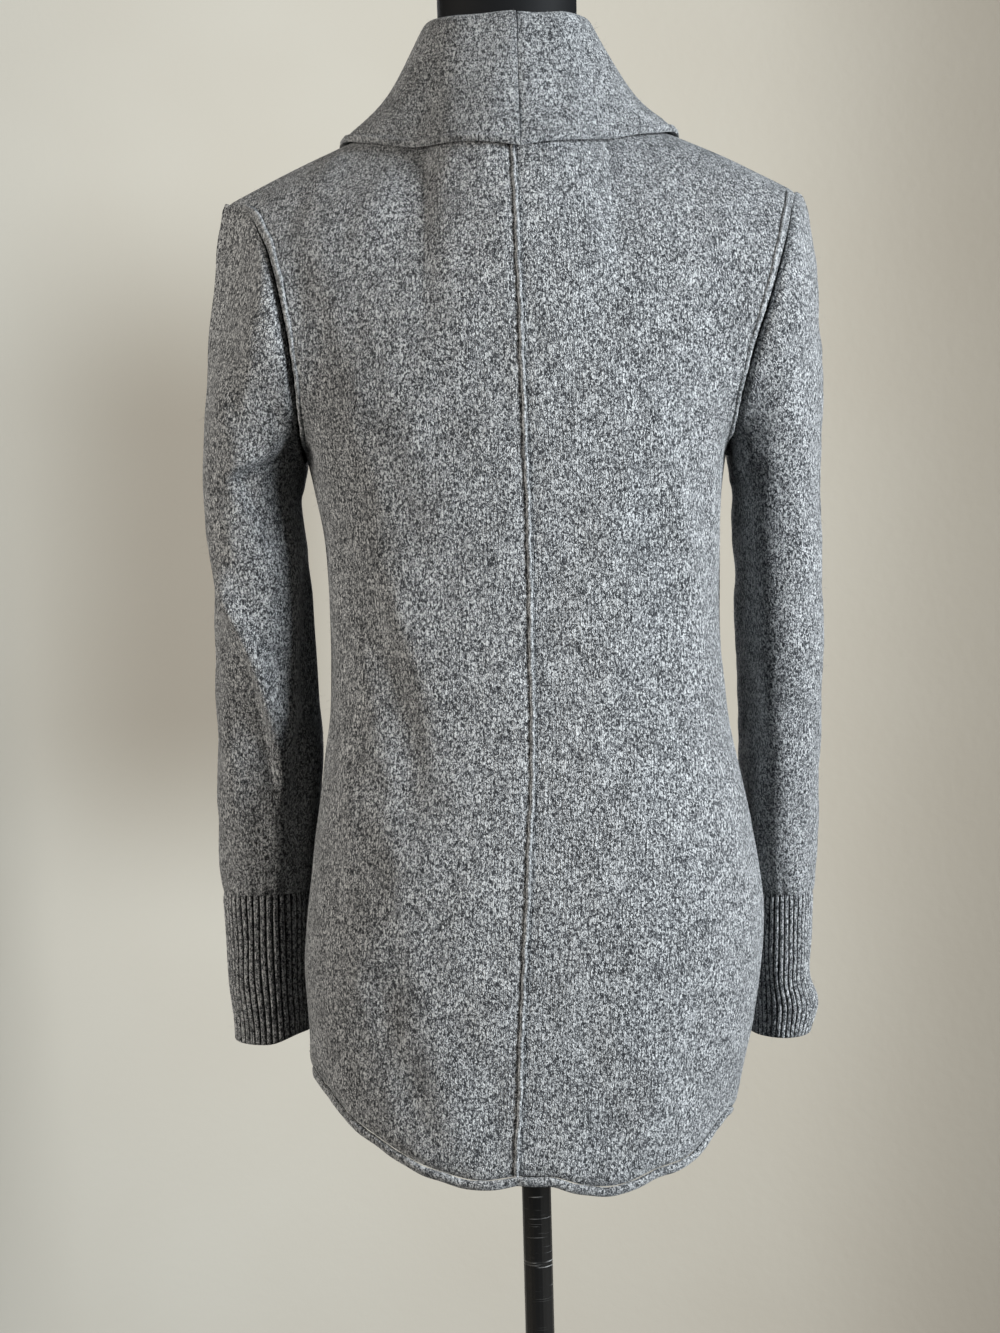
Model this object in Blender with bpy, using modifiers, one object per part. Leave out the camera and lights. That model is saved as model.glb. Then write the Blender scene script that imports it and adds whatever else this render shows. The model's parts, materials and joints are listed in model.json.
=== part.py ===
"""Shawl collar cardigan worn by a limbless dress form on a pole stand.

Metres, +Z up.  The origin is the centre of the stand's underside, on the floor.
The garment's front faces -Y, its wearer's left is +X.
Cloth pieces are thin closed walls lofted between sections; the sections come
from the short tables below, read smoothly between their rows.
"""
import math

import bmesh
import bpy
import numpy as np
from mathutils import Vector
from mathutils.bvhtree import BVHTree

# ---------------------------------------------------------------- sizes
CLOTH = 0.0022          # thickness of the felted knit
COLLAR_CLOTH = 0.0036   # the collar is knitted double
SEAM = 0.0003           # gap between two pieces that are sewn together
HALF_GAP = 0.0008       # half a seam gap, as a share of a panel's width
SHOULDER_GAP = 0.004    # half the shoulder seam's gap, as a share of the armhole's height
ARMPIT = 1.173          # height of the bottom of the armholes
LAPEL_SHARE = 2 / 3     # where the collar has narrowed to nothing, on the way up to the armpit
BAND_HEIGHT = 0.0066    # rolled band along the hem and the front edges
BAND_THICK = 0.0040
CORNER = 0.075          # radius of the fronts' rounded lower corners
BACK_ROUND = 2.35       # superellipse power of the back half of a body section
FRONT_ROUND = 2.15      # and of the front half
RIDGE_WIDTH = 0.0036    # raised seams
RIDGE_HEIGHT = 0.0015
CREST_LIFT = 0.0028     # the collar stands this much farther off over the shoulders' crest
ROLL = 0.0030           # radius of the collar's roll line
NECK_HALF = 0.061       # half width of the neckline at the shoulder seams
NECK_DEEP = 0.062       # neckline's distance behind the origin at centre back
NECK_LOW = 1.402        # its height there
NECK_RISE = 0.016       # and its rise to the shoulder seams
SHOULDER_BOW = 0.0035   # rise of the shoulder seam above a straight line
NECK_SHARE = 0.34       # share of the panel's top edge that is neckline

POLE_RADIUS = 0.0102
BASE_RADIUS = 0.175
BASE_THICK = 0.008
FORM_LOW = 0.745        # underside of the dress form

# ---------------------------------------------------------------- tables
# The body from hem to armpit: half widths to the wearer's left and right,
# depths behind and before the origin, and how far the centre back seam strays.
BODY = ("height", "left", "right", "back", "front", "stray"), (
    (0.660, 0.1500, 0.1290, 0.1180, 0.1060, 0.0140),
    (0.714, 0.1520, 0.1365, 0.1200, 0.1080, 0.0135),
    (0.748, 0.1545, 0.1450, 0.1220, 0.1095, 0.0110),
    (0.775, 0.1550, 0.1510, 0.1240, 0.1105, 0.0095),
    (0.800, 0.1565, 0.1555, 0.1250, 0.1115, 0.0082),
    (0.825, 0.1572, 0.1600, 0.1260, 0.1120, 0.0065),
    (0.850, 0.1550, 0.1620, 0.1250, 0.1120, 0.0045),
    (0.890, 0.1504, 0.1595, 0.1220, 0.1110, 0.0018),
    (0.925, 0.1463, 0.1545, 0.1170, 0.1095, -0.0005),
    (0.960, 0.1410, 0.1475, 0.1100, 0.1080, -0.0030),
    (0.990, 0.1360, 0.1420, 0.1040, 0.1065, -0.0038),
    (1.030, 0.1342, 0.1385, 0.0990, 0.1060, -0.0040),
    (1.090, 0.1344, 0.1385, 0.0970, 0.1090, -0.0046),
    (1.130, 0.1375, 0.1395, 0.1000, 0.1150, -0.0044),
    (1.155, 0.1425, 0.1420, 0.1030, 0.1190, -0.0040),
    (1.173, 0.1465, 0.1450, 0.1055, 0.1210, -0.0036),
)
# Height of the hem round the body, by degrees from the side seam (0) to
# centre back (90) and towards centre front (-90).
HEM = ("angle", "left", "right"), (
    (-90, 0.7000, 0.7000), (-65, 0.7030, 0.7030), (-48, 0.7150, 0.7120),
    (-30, 0.7330, 0.7200), (-14, 0.7430, 0.7150), (0, 0.7470, 0.7120),
    (12, 0.7530, 0.7180), (19, 0.7525, 0.7205), (26, 0.7480, 0.7130),
    (41, 0.7335, 0.6988), (53, 0.7200, 0.6935), (64, 0.7085, 0.6868),
    (74, 0.6995, 0.6880), (83, 0.6940, 0.6950), (90, 0.6958, 0.6958),
)
# The armhole from its bottom (0) to the shoulder tip (1).
ARMHOLE = ("share", "height", "left", "right", "back", "front"), (
    (0.00, 1.1730, 0.1465, 0.1450, 0.0000, 0.0000),
    (0.08, 1.1775, 0.1470, 0.1455, 0.0200, -0.0200),
    (0.18, 1.1900, 0.1480, 0.1475, 0.0400, -0.0400),
    (0.30, 1.2130, 0.1490, 0.1525, 0.0550, -0.0540),
    (0.45, 1.2430, 0.1520, 0.1610, 0.0610, -0.0620),
    (0.60, 1.2730, 0.1570, 0.1715, 0.0600, -0.0640),
    (0.74, 1.3010, 0.1630, 0.1805, 0.0530, -0.0580),
    (0.86, 1.3250, 0.1710, 0.1880, 0.0400, -0.0460),
    (0.94, 1.3470, 0.1840, 0.1920, 0.0210, -0.0260),
    (1.00, 1.3620, 0.1975, 0.1975, -0.0040, -0.0040),
)
# Centre back line and front edge above the armpit, by share of the way up.
CENTRE = ("share", "back_height", "back_deep", "edge_height", "edge_out", "edge_deep"), (
    (0.00, 1.1730, 0.1055, 1.1730, 0.0320, -0.1199),
    (0.20, 1.2200, 0.1100, 1.2200, 0.0370, -0.1170),
    (0.45, 1.2800, 0.1085, 1.2850, 0.0450, -0.1010),
    (0.70, 1.3380, 0.0965, 1.3500, 0.0530, -0.0690),
    (0.88, 1.3800, 0.0785, 1.3960, 0.0590, -0.0340),
    (1.00, 1.4020, 0.0620, 1.4180, 0.0610, 0.0000),
)
# Front edge below the armpit: distance from the middle.
FRONT_EDGE = ("height", "out"), (
    (0.690, 0.044), (0.800, 0.037), (0.920, 0.030), (1.035, 0.027),
    (1.100, 0.029), (1.173, 0.032),
)
# The sleeves' tubes: centre, half width, half depth.
SLEEVE_LEFT = ("height", "out", "deep", "wide", "thick"), (
    (1.150, 0.1870, -0.004, 0.0365, 0.0460),
    (1.125, 0.1856, -0.006, 0.0367, 0.0462),
    (1.088, 0.1819, -0.009, 0.0352, 0.0465),
    (1.050, 0.1823, -0.013, 0.0357, 0.0455),
    (1.010, 0.1827, -0.018, 0.0368, 0.0445),
    (0.965, 0.1820, -0.024, 0.0374, 0.0435),
    (0.920, 0.1844, -0.031, 0.0357, 0.0425),
    (0.874, 0.1862, -0.037, 0.0336, 0.0410),
)
SLEEVE_RIGHT = ("height", "out", "deep", "wide", "thick"), (
    (1.150, 0.1806, -0.004, 0.0326, 0.0480),
    (1.125, 0.1803, -0.006, 0.0319, 0.0485),
    (1.088, 0.1811, -0.010, 0.0311, 0.0485),
    (1.050, 0.1813, -0.015, 0.0302, 0.0480),
    (1.010, 0.1816, -0.021, 0.0294, 0.0475),
    (0.965, 0.1812, -0.030, 0.0286, 0.0465),
    (0.920, 0.1827, -0.044, 0.0275, 0.0450),
    (0.864, 0.1829, -0.052, 0.0250, 0.0430),
)
CUFF_LEFT = ("height", "out", "deep", "wide", "thick"), (
    (0.8736, 0.1868, -0.0370, 0.0318, 0.0385),
    (0.8430, 0.1868, -0.0380, 0.0305, 0.0370),
    (0.8100, 0.1868, -0.0390, 0.0297, 0.0360),
    (0.7850, 0.1856, -0.0400, 0.0285, 0.0352),
    (0.7690, 0.1850, -0.0400, 0.0280, 0.0350),
)
CUFF_RIGHT = ("height", "out", "deep", "wide", "thick"), (
    (0.8636, 0.1822, -0.0520, 0.0236, 0.0410),
    (0.8400, 0.1812, -0.0525, 0.0230, 0.0400),
    (0.8180, 0.1806, -0.0530, 0.0223, 0.0395),
    (0.8000, 0.1804, -0.0530, 0.0218, 0.0390),
    (0.7850, 0.1828, -0.0530, 0.0242, 0.0390),
    (0.7630, 0.1806, -0.0530, 0.0220, 0.0380),
)
# The collar from centre back (0) along the neckline to the shoulder seam (1),
# down the front edge to the armpit's height (2) and to its end (3):
# the roll line and the outer edge.
COLLAR = ("along", "roll_out", "roll_deep", "roll_height",
          "edge_out", "edge_deep", "edge_height"), (
    (0.00, 0.0000, 0.0600, 1.4640, 0.0000, 0.0960, 1.3650),
    (0.30, 0.0280, 0.0540, 1.4640, 0.0440, 0.0930, 1.3670),
    (0.62, 0.0460, 0.0350, 1.4640, 0.0840, 0.0760, 1.3720),
    (0.88, 0.0535, 0.0060, 1.4600, 0.1100, 0.0420, 1.3840),
    (1.08, 0.0535, -0.0240, 1.4460, 0.1180, 0.0020, 1.3980),
    (1.25, 0.0470, -0.0570, 1.4110, 0.1170, -0.0400, 1.3800),
    (1.50, 0.0340, -0.0960, 1.3380, 0.1060, -0.0850, 1.3200),
    (1.75, 0.0250, -0.1180, 1.2620, 0.0910, -0.1170, 1.2500),
    (2.00, 0.0190, -0.1260, 1.1780, 0.0720, -0.1230, 1.1700),
    (2.50, 0.0150, -0.1160, 1.1030, 0.0490, -0.1180, 1.0950),
    (3.00, 0.0160, -0.1100, 1.0400, 0.0330, -0.1120, 1.0360),
)
# The dress form's sections: half width, depths behind and before the origin.
FORM = ("height", "wide", "back", "front"), (
    (0.745, 0.1330, 0.1080, 0.0960), (0.752, 0.1370, 0.1120, 0.1000),
    (0.800, 0.1450, 0.1170, 0.1050), (0.860, 0.1450, 0.1170, 0.1050),
    (0.930, 0.1370, 0.1080, 0.1010), (1.000, 0.1260, 0.0940, 0.0970),
    (1.060, 0.1230, 0.0880, 0.0980), (1.120, 0.1270, 0.0900, 0.1050),
    (1.180, 0.1360, 0.0970, 0.1120), (1.230, 0.1420, 0.0990, 0.1060),
    (1.275, 0.1480, 0.0950, 0.0900), (1.315, 0.1600, 0.0840, 0.0680),
    (1.340, 0.1690, 0.0620, 0.0470), (1.353, 0.1650, 0.0480, 0.0370),
    (1.366, 0.1400, 0.0470, 0.0350), (1.380, 0.1060, 0.0480, 0.0370),
    (1.395, 0.0700, 0.0460, 0.0390), (1.412, 0.0520, 0.0450, 0.0430),
    (1.435, 0.0490, 0.0460, 0.0480), (1.500, 0.0488, 0.0465, 0.0520),
    (1.518, 0.0483, 0.0460, 0.0515), (1.525, 0.0440, 0.0420, 0.0470),
)

LEFT, RIGHT = 1, -1
BACK, FRONT = 1, -1


# ---------------------------------------------------------------- reading tables
def read(table, name, where):
    """A column's value at `where`, on a smooth curve through the rows."""
    names, rows = table
    rows = sorted(rows)
    at = np.array([row[0] for row in rows])
    value = np.array([row[names.index(name)] for row in rows])
    slope = np.gradient(value, at)
    where = float(np.clip(where, at[0], at[-1]))
    i = int(np.clip(np.searchsorted(at, where) - 1, 0, len(at) - 2))
    span = at[i + 1] - at[i]
    t = (where - at[i]) / span
    return float(
        (2 * t**3 - 3 * t**2 + 1) * value[i] + (t**3 - 2 * t**2 + t) * span * slope[i]
        + (3 * t**2 - 2 * t**3) * value[i + 1] + (t**3 - t**2) * span * slope[i + 1])


def power(base, exponent):
    """Signed power, for superellipses."""
    return math.copysign(abs(base) ** exponent, base)


# ---------------------------------------------------------------- body surface
def ring(angle, height):
    """Cloth's outer point; 0 degrees is the left side seam, 90 centre back."""
    c, s = math.cos(math.radians(angle)), math.sin(math.radians(angle))
    half = read(BODY, "left" if c >= 0 else "right", height)
    deep = read(BODY, "back" if s >= 0 else "front", height)
    bend = 2 / (BACK_ROUND if s >= 0 else FRONT_ROUND)
    x, y = half * power(c, bend), deep * power(s, bend)
    if s > 0:
        x += read(BODY, "stray", height) * (1 - (x / half) ** 2)
    return np.array((x, y, height))


def around(side, face, turn, height):
    """Ring point `turn` degrees from the side seam towards the back or front."""
    angle = face * turn if side == LEFT else 180 - face * turn
    return ring(angle, height)


def edge_turn(side, height):
    """Degrees from the side seam to the front edge."""
    half = read(BODY, "left" if side == LEFT else "right", height)
    share = read(FRONT_EDGE, "out", height) / half
    return math.degrees(math.acos(share ** (FRONT_ROUND / 2)))


def hem_height(side, face, u):
    """Lower edge of a panel (the rolled band lies below it)."""
    low = 0.72
    turn = 90 if face == BACK else edge_turn(side, low)
    height = read(HEM, "left" if side == LEFT else "right", face * turn * (1 - u))
    height += BAND_HEIGHT + SEAM
    if face == FRONT:
        edge = around(side, face, turn, low)
        here = around(side, face, turn * (1 - u), low)
        reach = min(CORNER, float(np.linalg.norm(here - edge)))
        height += CORNER - math.sqrt(max(0.0, CORNER**2 - (CORNER - reach) ** 2))
    return height


def lower(side, face, u, v):
    """Panel below the armpit: u from the middle (0) to the side seam (1)."""
    height = hem_height(side, face, u)
    height += (ARMPIT - height) * v
    turn = 90 if face == BACK else edge_turn(side, height)
    return around(side, face, turn * (1 - u), height)


def shoulder_top(side, u):
    """Back neckline, then the shoulder seam out to the tip."""
    tip_out = read(ARMHOLE, "left" if side == LEFT else "right", 1)
    if u < NECK_SHARE:
        turn = math.radians(90 * u / NECK_SHARE)
        return np.array((side * NECK_HALF * math.sin(turn), NECK_DEEP * math.cos(turn),
                         NECK_LOW + NECK_RISE * (1 - math.cos(turn))))
    share = (u - NECK_SHARE) / (1 - NECK_SHARE)
    return seam_point(side, share, tip_out)


def seam_point(side, share, tip_out):
    """Shoulder seam from the neck (0) to the tip (1)."""
    neck = np.array((NECK_HALF, 0.0, NECK_LOW + NECK_RISE))
    tip = np.array((tip_out, read(ARMHOLE, "back", 1), read(ARMHOLE, "height", 1)))
    point = neck + (tip - neck) * share
    point[2] += SHOULDER_BOW * math.sin(math.pi * share)
    point[0] *= side
    return point


def armhole(side, face, v):
    """Armhole edge from its bottom (0) to the shoulder tip (1)."""
    return np.array((side * read(ARMHOLE, "left" if side == LEFT else "right", v),
                     read(ARMHOLE, "back" if face == BACK else "front", v),
                     read(ARMHOLE, "height", v)))


def upper(side, face, u, v):
    """Panel above the armpit, blended between its four edges."""
    if face == BACK:
        middle = np.array((read(BODY, "stray", ARMPIT) * (1 - v), read(CENTRE, "back_deep", v),
                           read(CENTRE, "back_height", v)))
        full_turn = 90
        tops = [shoulder_top(side, t) for t in (0, u, 1)]
    else:
        middle = np.array((side * read(CENTRE, "edge_out", v), read(CENTRE, "edge_deep", v),
                           read(CENTRE, "edge_height", v)))
        full_turn = edge_turn(side, ARMPIT)
        tip_out = read(ARMHOLE, "left" if side == LEFT else "right", 1)
        tops = [seam_point(side, t, tip_out) for t in (0, u, 1)]
    feet = [around(side, face, full_turn * (1 - t), ARMPIT) for t in (0, u, 1)]
    foot_bulge = feet[1] - (feet[0] + (feet[2] - feet[0]) * u)
    top_bulge = tops[1] - (tops[0] + (tops[2] - tops[0]) * u)
    edge = armhole(side, face, v)
    passed = math.degrees(math.asin(min(1.0, abs(edge[1] / middle[1]) ** 1.15))) if v < 1 else 90
    point = middle * (1 - u) + edge * u
    point = point + foot_bulge * (1 - passed / 90) ** 2 * (1 - v**2) + top_bulge * v**3
    point[2] += 0.55 * u * (1 - u) * v**4 * (1 - v)
    return point


def panel(side, face, u, v):
    """Whole panel: v below 1 is under the armpit, 1 to 2 above it."""
    return lower(side, face, u, v) if v <= 1 else upper(side, face, u, v - 1)


def normal_at(surface, u, v, u_range, v_range, step=0.004):
    """Unit normal by small steps that stay inside the surface."""
    u0, u1 = max(u_range[0], u - step), min(u_range[1], u + step)
    v0, v1 = max(v_range[0], v - step), min(v_range[1], v + step)
    across = surface(u1, v) - surface(u0, v)
    along = surface(u, v1) - surface(u, v0)
    cross = np.cross(across, along)
    return cross / max(np.linalg.norm(cross), 1e-12)


# ---------------------------------------------------------------- making meshes
def material(name, colour, roughness, metallic=0.0):
    finish = bpy.data.materials.new(name)
    finish.use_nodes = True
    shader = finish.node_tree.nodes["Principled BSDF"]
    shader.inputs["Base Color"].default_value = (*colour, 1)
    shader.inputs["Roughness"].default_value = roughness
    shader.inputs["Metallic"].default_value = metallic
    return finish


def add_mesh(name, collection, finish, points, faces):
    """One closed body, its faces turned outwards."""
    mesh = bpy.data.meshes.new(name)
    mesh.from_pydata([tuple(p) for p in points], [], faces)
    form = bmesh.new()
    form.from_mesh(mesh)
    bmesh.ops.recalc_face_normals(form, faces=form.faces)
    form.to_mesh(mesh)
    form.free()
    mesh.shade_smooth()
    mesh.set_sharp_from_angle(angle=math.radians(50))
    mesh.materials.append(finish)
    piece = bpy.data.objects.new(name, mesh)
    collection.objects.link(piece)
    return piece


def wall(name, collection, finish, outer, inner, closed):
    """Closed wall between two grids of points; `closed` joins last column to first."""
    rows, cols = outer.shape[:2]
    points = np.concatenate([outer.reshape(-1, 3), inner.reshape(-1, 3)])
    shift = rows * cols
    faces = []
    for r in range(rows - 1):
        for c in range(cols if closed else cols - 1):
            a, b = r * cols + c, r * cols + (c + 1) % cols
            d, e = a + cols, b + cols
            faces += [(a, b, e, d), (shift + a, shift + d, shift + e, shift + b)]
    rim = []
    for c in range(cols if closed else cols - 1):
        a, b = c, (c + 1) % cols
        top = (rows - 1) * cols
        rim += [(a, shift + a, shift + b, b), (top + a, top + b, shift + top + b, shift + top + a)]
    if not closed:
        for r in range(rows - 1):
            a, b = r * cols, (r + 1) * cols
            last = cols - 1
            rim += [(a, b, shift + b, shift + a),
                    (a + last, shift + a + last, shift + b + last, b + last)]
    return add_mesh(name, collection, finish, points, faces + rim)


def tube(name, collection, finish, sections):
    """Closed body through sections of equal numbers of points, ends filled."""
    rows, cols = sections.shape[:2]
    faces = [(r * cols + c, r * cols + (c + 1) % cols,
              (r + 1) * cols + (c + 1) % cols, (r + 1) * cols + c)
             for r in range(rows - 1) for c in range(cols)]
    faces += [tuple(range(cols))[::-1], tuple(range((rows - 1) * cols, rows * cols))]
    return add_mesh(name, collection, finish, sections.reshape(-1, 3), faces)


# ---------------------------------------------------------------- panels
ARM_ROWS = (0.05, 0.13, 0.24, 0.38, 0.52, 0.66, 0.78, 0.87, 0.94, 1 - SHOULDER_GAP)
PANEL_ROWS = tuple(np.linspace(0, 1, 10)) + tuple(1 + v for v in ARM_ROWS)
RIDGE_COLUMN = 0.980    # armhole welts lie on this column
BACK_COLUMNS = (HALF_GAP, 0.09, 0.18, 0.26, NECK_SHARE, 0.48, 0.62, 0.75, 0.87, 0.945,
                RIDGE_COLUMN, 1 - HALF_GAP)
FRONT_COLUMNS = (0.0, 0.02, 0.07, 0.15, 0.26, 0.39, 0.54, 0.69, 0.83, 0.94, 1 - HALF_GAP)


def facing_out(side, face, u, v):
    """Outward unit normal of a panel; both sides share it along the shoulder seam."""
    zone = (0, 1) if v <= 1 else (1, 2)
    out = normal_at(lambda a, b: panel(side, face, a, b), u, v, (0, 1), zone) * -side * face
    if v > 1.99 and (face == FRONT or u > NECK_SHARE):
        out[1] = 0
        out /= np.linalg.norm(out)
    return out


def build_panel(name, collection, finish, side, face):
    """Back or front panel of one side, as a wall."""
    columns = BACK_COLUMNS if face == BACK else FRONT_COLUMNS
    outer, inner = [], []
    for v in PANEL_ROWS:
        points, normals = panel_line(side, face, [(u, v) for u in columns])
        outer.append(points)
        inner.append(points - normals * CLOTH)
    return wall(name, collection, finish, np.array(outer), np.array(inner), closed=False)


# ---------------------------------------------------------------- sleeves and cuffs
def sleeve_table(side):
    return SLEEVE_LEFT if side == LEFT else SLEEVE_RIGHT


def oval(table, side, turn, height):
    """Point of a sleeve or cuff section; 0 degrees is outermost, 90 at the back."""
    a = math.radians(turn)
    return np.array((side * (read(table, "out", height) + read(table, "wide", height) * math.cos(a)),
                     read(table, "deep", height) + read(table, "thick", height) * math.sin(a),
                     height))


def cap(side, turn, t):
    """Sleeve head from the armhole (t 0) to the first section of the tube (t 1)."""
    face = BACK if turn <= 180 else FRONT
    start = armhole(side, face, abs(180 - turn) / 180)
    start = start + np.array((side * 2 * SEAM, 0, 0))
    table = sleeve_table(side)
    end = oval(table, side, turn, table[1][0][0])
    reach = float(np.linalg.norm(end - start))
    bow = 0.20 + 0.34 * math.sin(math.radians(turn)) ** 2
    leave = reach * np.array((side * bow, 0.22 * math.sin(math.radians(turn)), -0.16))
    arrive = reach * np.array((0, 0, -0.95))
    return ((2 * t**3 - 3 * t**2 + 1) * start + (t**3 - 2 * t**2 + t) * leave
            + (3 * t**2 - 2 * t**3) * end + (t**3 - t**2) * arrive)


def sleeve_point(side, turn, along):
    """along 0 to 1 is the head, 1 to 2 the tube down to the cuff."""
    turn = turn % 360
    if along <= 1:
        return cap(side, turn, along)
    table = sleeve_table(side)
    top, low = table[1][0][0], table[1][-1][0]
    return oval(table, side, turn, top + (low - top) * (along - 1))


def build_tube(name, collection, finish, surface, turns, stations, side, limits):
    """Open tube of cloth; the wall's thickness goes to the inside."""
    outer, inner = [], []
    for along in stations:
        outer_row, inner_row = [], []
        for turn in turns:
            point = surface(turn, along)
            step = 2.0
            across = surface(turn + step, along) - surface(turn - step, along)
            low, high = max(limits[0], along - 0.01), min(limits[1], along + 0.01)
            down = surface(turn, high) - surface(turn, low)
            out = np.cross(across, down)
            out *= -side / max(np.linalg.norm(out), 1e-12)
            outer_row.append(point)
            inner_row.append(point - out * CLOTH)
        outer.append(outer_row)
        inner.append(inner_row)
    return wall(name, collection, finish, np.array(outer), np.array(inner), closed=True)


def build_sleeve(name, collection, finish, side):
    turns = np.linspace(0, 360, 18, endpoint=False)
    stations = (0, 0.12, 0.28, 0.46, 0.64, 0.82, 1.0, 1.12, 1.28, 1.44, 1.60, 1.74, 1.87, 2.0)
    return build_tube(name, collection, finish, lambda turn, along: sleeve_point(side, turn, along),
                      turns, stations, side, (0, 2))


def build_cuff(name, collection, finish, side):
    table = CUFF_LEFT if side == LEFT else CUFF_RIGHT
    top, low = table[1][0][0], table[1][-1][0]

    def surface(turn, along):
        return oval(table, side, turn, top + (low - top) * along)

    turns = np.linspace(0, 360, 18, endpoint=False)
    return build_tube(name, collection, finish, surface, turns, (0, 0.33, 0.66, 0.83, 1.0),
                      side, (0, 1))


# ---------------------------------------------------------------- strips on the panels
def frame_along(path, normals):
    """Directions along, and sideways to, a path that lies on the cloth."""
    along = np.gradient(path, axis=0)
    along /= np.linalg.norm(along, axis=1)[:, None]
    sideways = np.cross(normals, along)
    sideways /= np.linalg.norm(sideways, axis=1)[:, None]
    return along, sideways


def strip(name, collection, finish, path, normals, profile):
    """Narrow piece whose section `profile` is (sideways, out) pairs."""
    sideways = frame_along(path, normals)[1]
    sections = np.array([[p + s * a + n * b for a, b in profile]
                         for p, s, n in zip(path, sideways, normals)])
    return tube(name, collection, finish, sections)


def panel_line(side, face, spots):
    """Points and outward normals of a panel at (u, v) spots."""
    points, normals = [], []
    for u, v in spots:
        points.append(panel(side, face, u, v))
        normals.append(facing_out(side, face, u, v))
    return np.array(points), np.array(normals)


def ridge_profile(low):
    half = RIDGE_WIDTH / 2
    return ((-half, low), (-half * 0.6, RIDGE_HEIGHT), (half * 0.6, RIDGE_HEIGHT), (half, low))


def build_centre_ridge(collection, finish):
    spots = [(0, v) for v in PANEL_ROWS if v < 1.9]
    path, normals = panel_line(LEFT, BACK, spots)
    strip("seam_ridge_centre_back", collection, finish, path, normals, ridge_profile(SEAM))


def build_armhole_ridge(name, collection, finish, side):
    """Welt just inside the armhole seam on the back panel."""
    spots = [(RIDGE_COLUMN, 1 + v) for v in ARM_ROWS if 0.1 < v < 0.99]
    path, normals = panel_line(side, BACK, spots)
    strip(name, collection, finish, path, normals, ridge_profile(2 * SEAM))


def band_profile(outward):
    """Rolled edge: sideways distances run away from the panel."""
    h, t = BAND_HEIGHT, BAND_THICK
    flat = ((0, -0.75 * t), (0, 0.10 * t), (0.25 * h, 0.30 * t), (0.75 * h, 0.30 * t),
            (h, 0.0), (h, -0.45 * t), (0.7 * h, -0.75 * t))
    return tuple((outward * (SEAM + a), b) for a, b in flat)


def build_back_band(collection, finish):
    """Rolled band under both back panels, from side seam to side seam."""
    left = [(u, 0) for u in BACK_COLUMNS[::-1]]
    right = [(u, 0) for u in BACK_COLUMNS[1:]]
    path_l, normals_l = panel_line(LEFT, BACK, left)
    path_r, normals_r = panel_line(RIGHT, BACK, right)
    path, normals = np.concatenate([path_l, path_r]), np.concatenate([normals_l, normals_r])
    strip("hem_band_back", collection, finish, path, normals, band_profile(-1))


def build_front_band(name, collection, finish, side):
    """Rolled band from the side seam, round the corner and up the front edge."""
    hem = [(u, 0) for u in FRONT_COLUMNS[::-1]]
    rise = [(0, v) for v in PANEL_ROWS if 0 < v < LAPEL_SHARE + 0.001]
    path, normals = panel_line(side, FRONT, hem + rise)
    strip(name, collection, finish, path, normals, band_profile(side))


# ---------------------------------------------------------------- collar
def collar_seam(side, along):
    """Edge that the collar is sewn to, and the direction away from the panel."""
    if along <= 1:
        face, u, v = BACK, NECK_SHARE * along, 2.0
        point = panel(side, face, u, v)
        away = point - panel(side, face, u, v - 0.02)
    else:
        face, u = FRONT, 0.0
        v = 3 - along if along <= 2 else 1 - (1 - LAPEL_SHARE) * (along - 2)
        point = panel(side, face, u, v)
        away = point - panel(side, face, u + 0.02, v)
    return point, away / np.linalg.norm(away)


def body_tree():
    """All panels' outer surfaces as one tree, for laying things on them."""
    points, faces = [], []
    for side in (LEFT, RIGHT):
        for face in (BACK, FRONT):
            us, vs = np.linspace(0, 1, 25), np.linspace(0.4, 2, 65)
            base = len(points)
            points += [Vector(panel(side, face, u, v)) for v in vs for u in us]
            for r in range(len(vs) - 1):
                for c in range(len(us) - 1):
                    a = base + r * len(us) + c
                    quad = (a, a + 1, a + 1 + len(us), a + len(us))
                    faces.append(quad if side * face < 0 else quad[::-1])
    return BVHTree.FromPolygons(points, faces)


def lay_on(tree, point, clearance, touch=False):
    """The point, moved out until it is `clearance` off the panels; with `touch`, no farther."""
    spot, normal, _, _ = tree.find_nearest(Vector(point))
    spot, normal = np.array(spot), np.array(normal)
    height = float(np.dot(point - spot, normal))
    if height >= clearance and not touch:
        return point
    return point + normal * (clearance - height)


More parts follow.
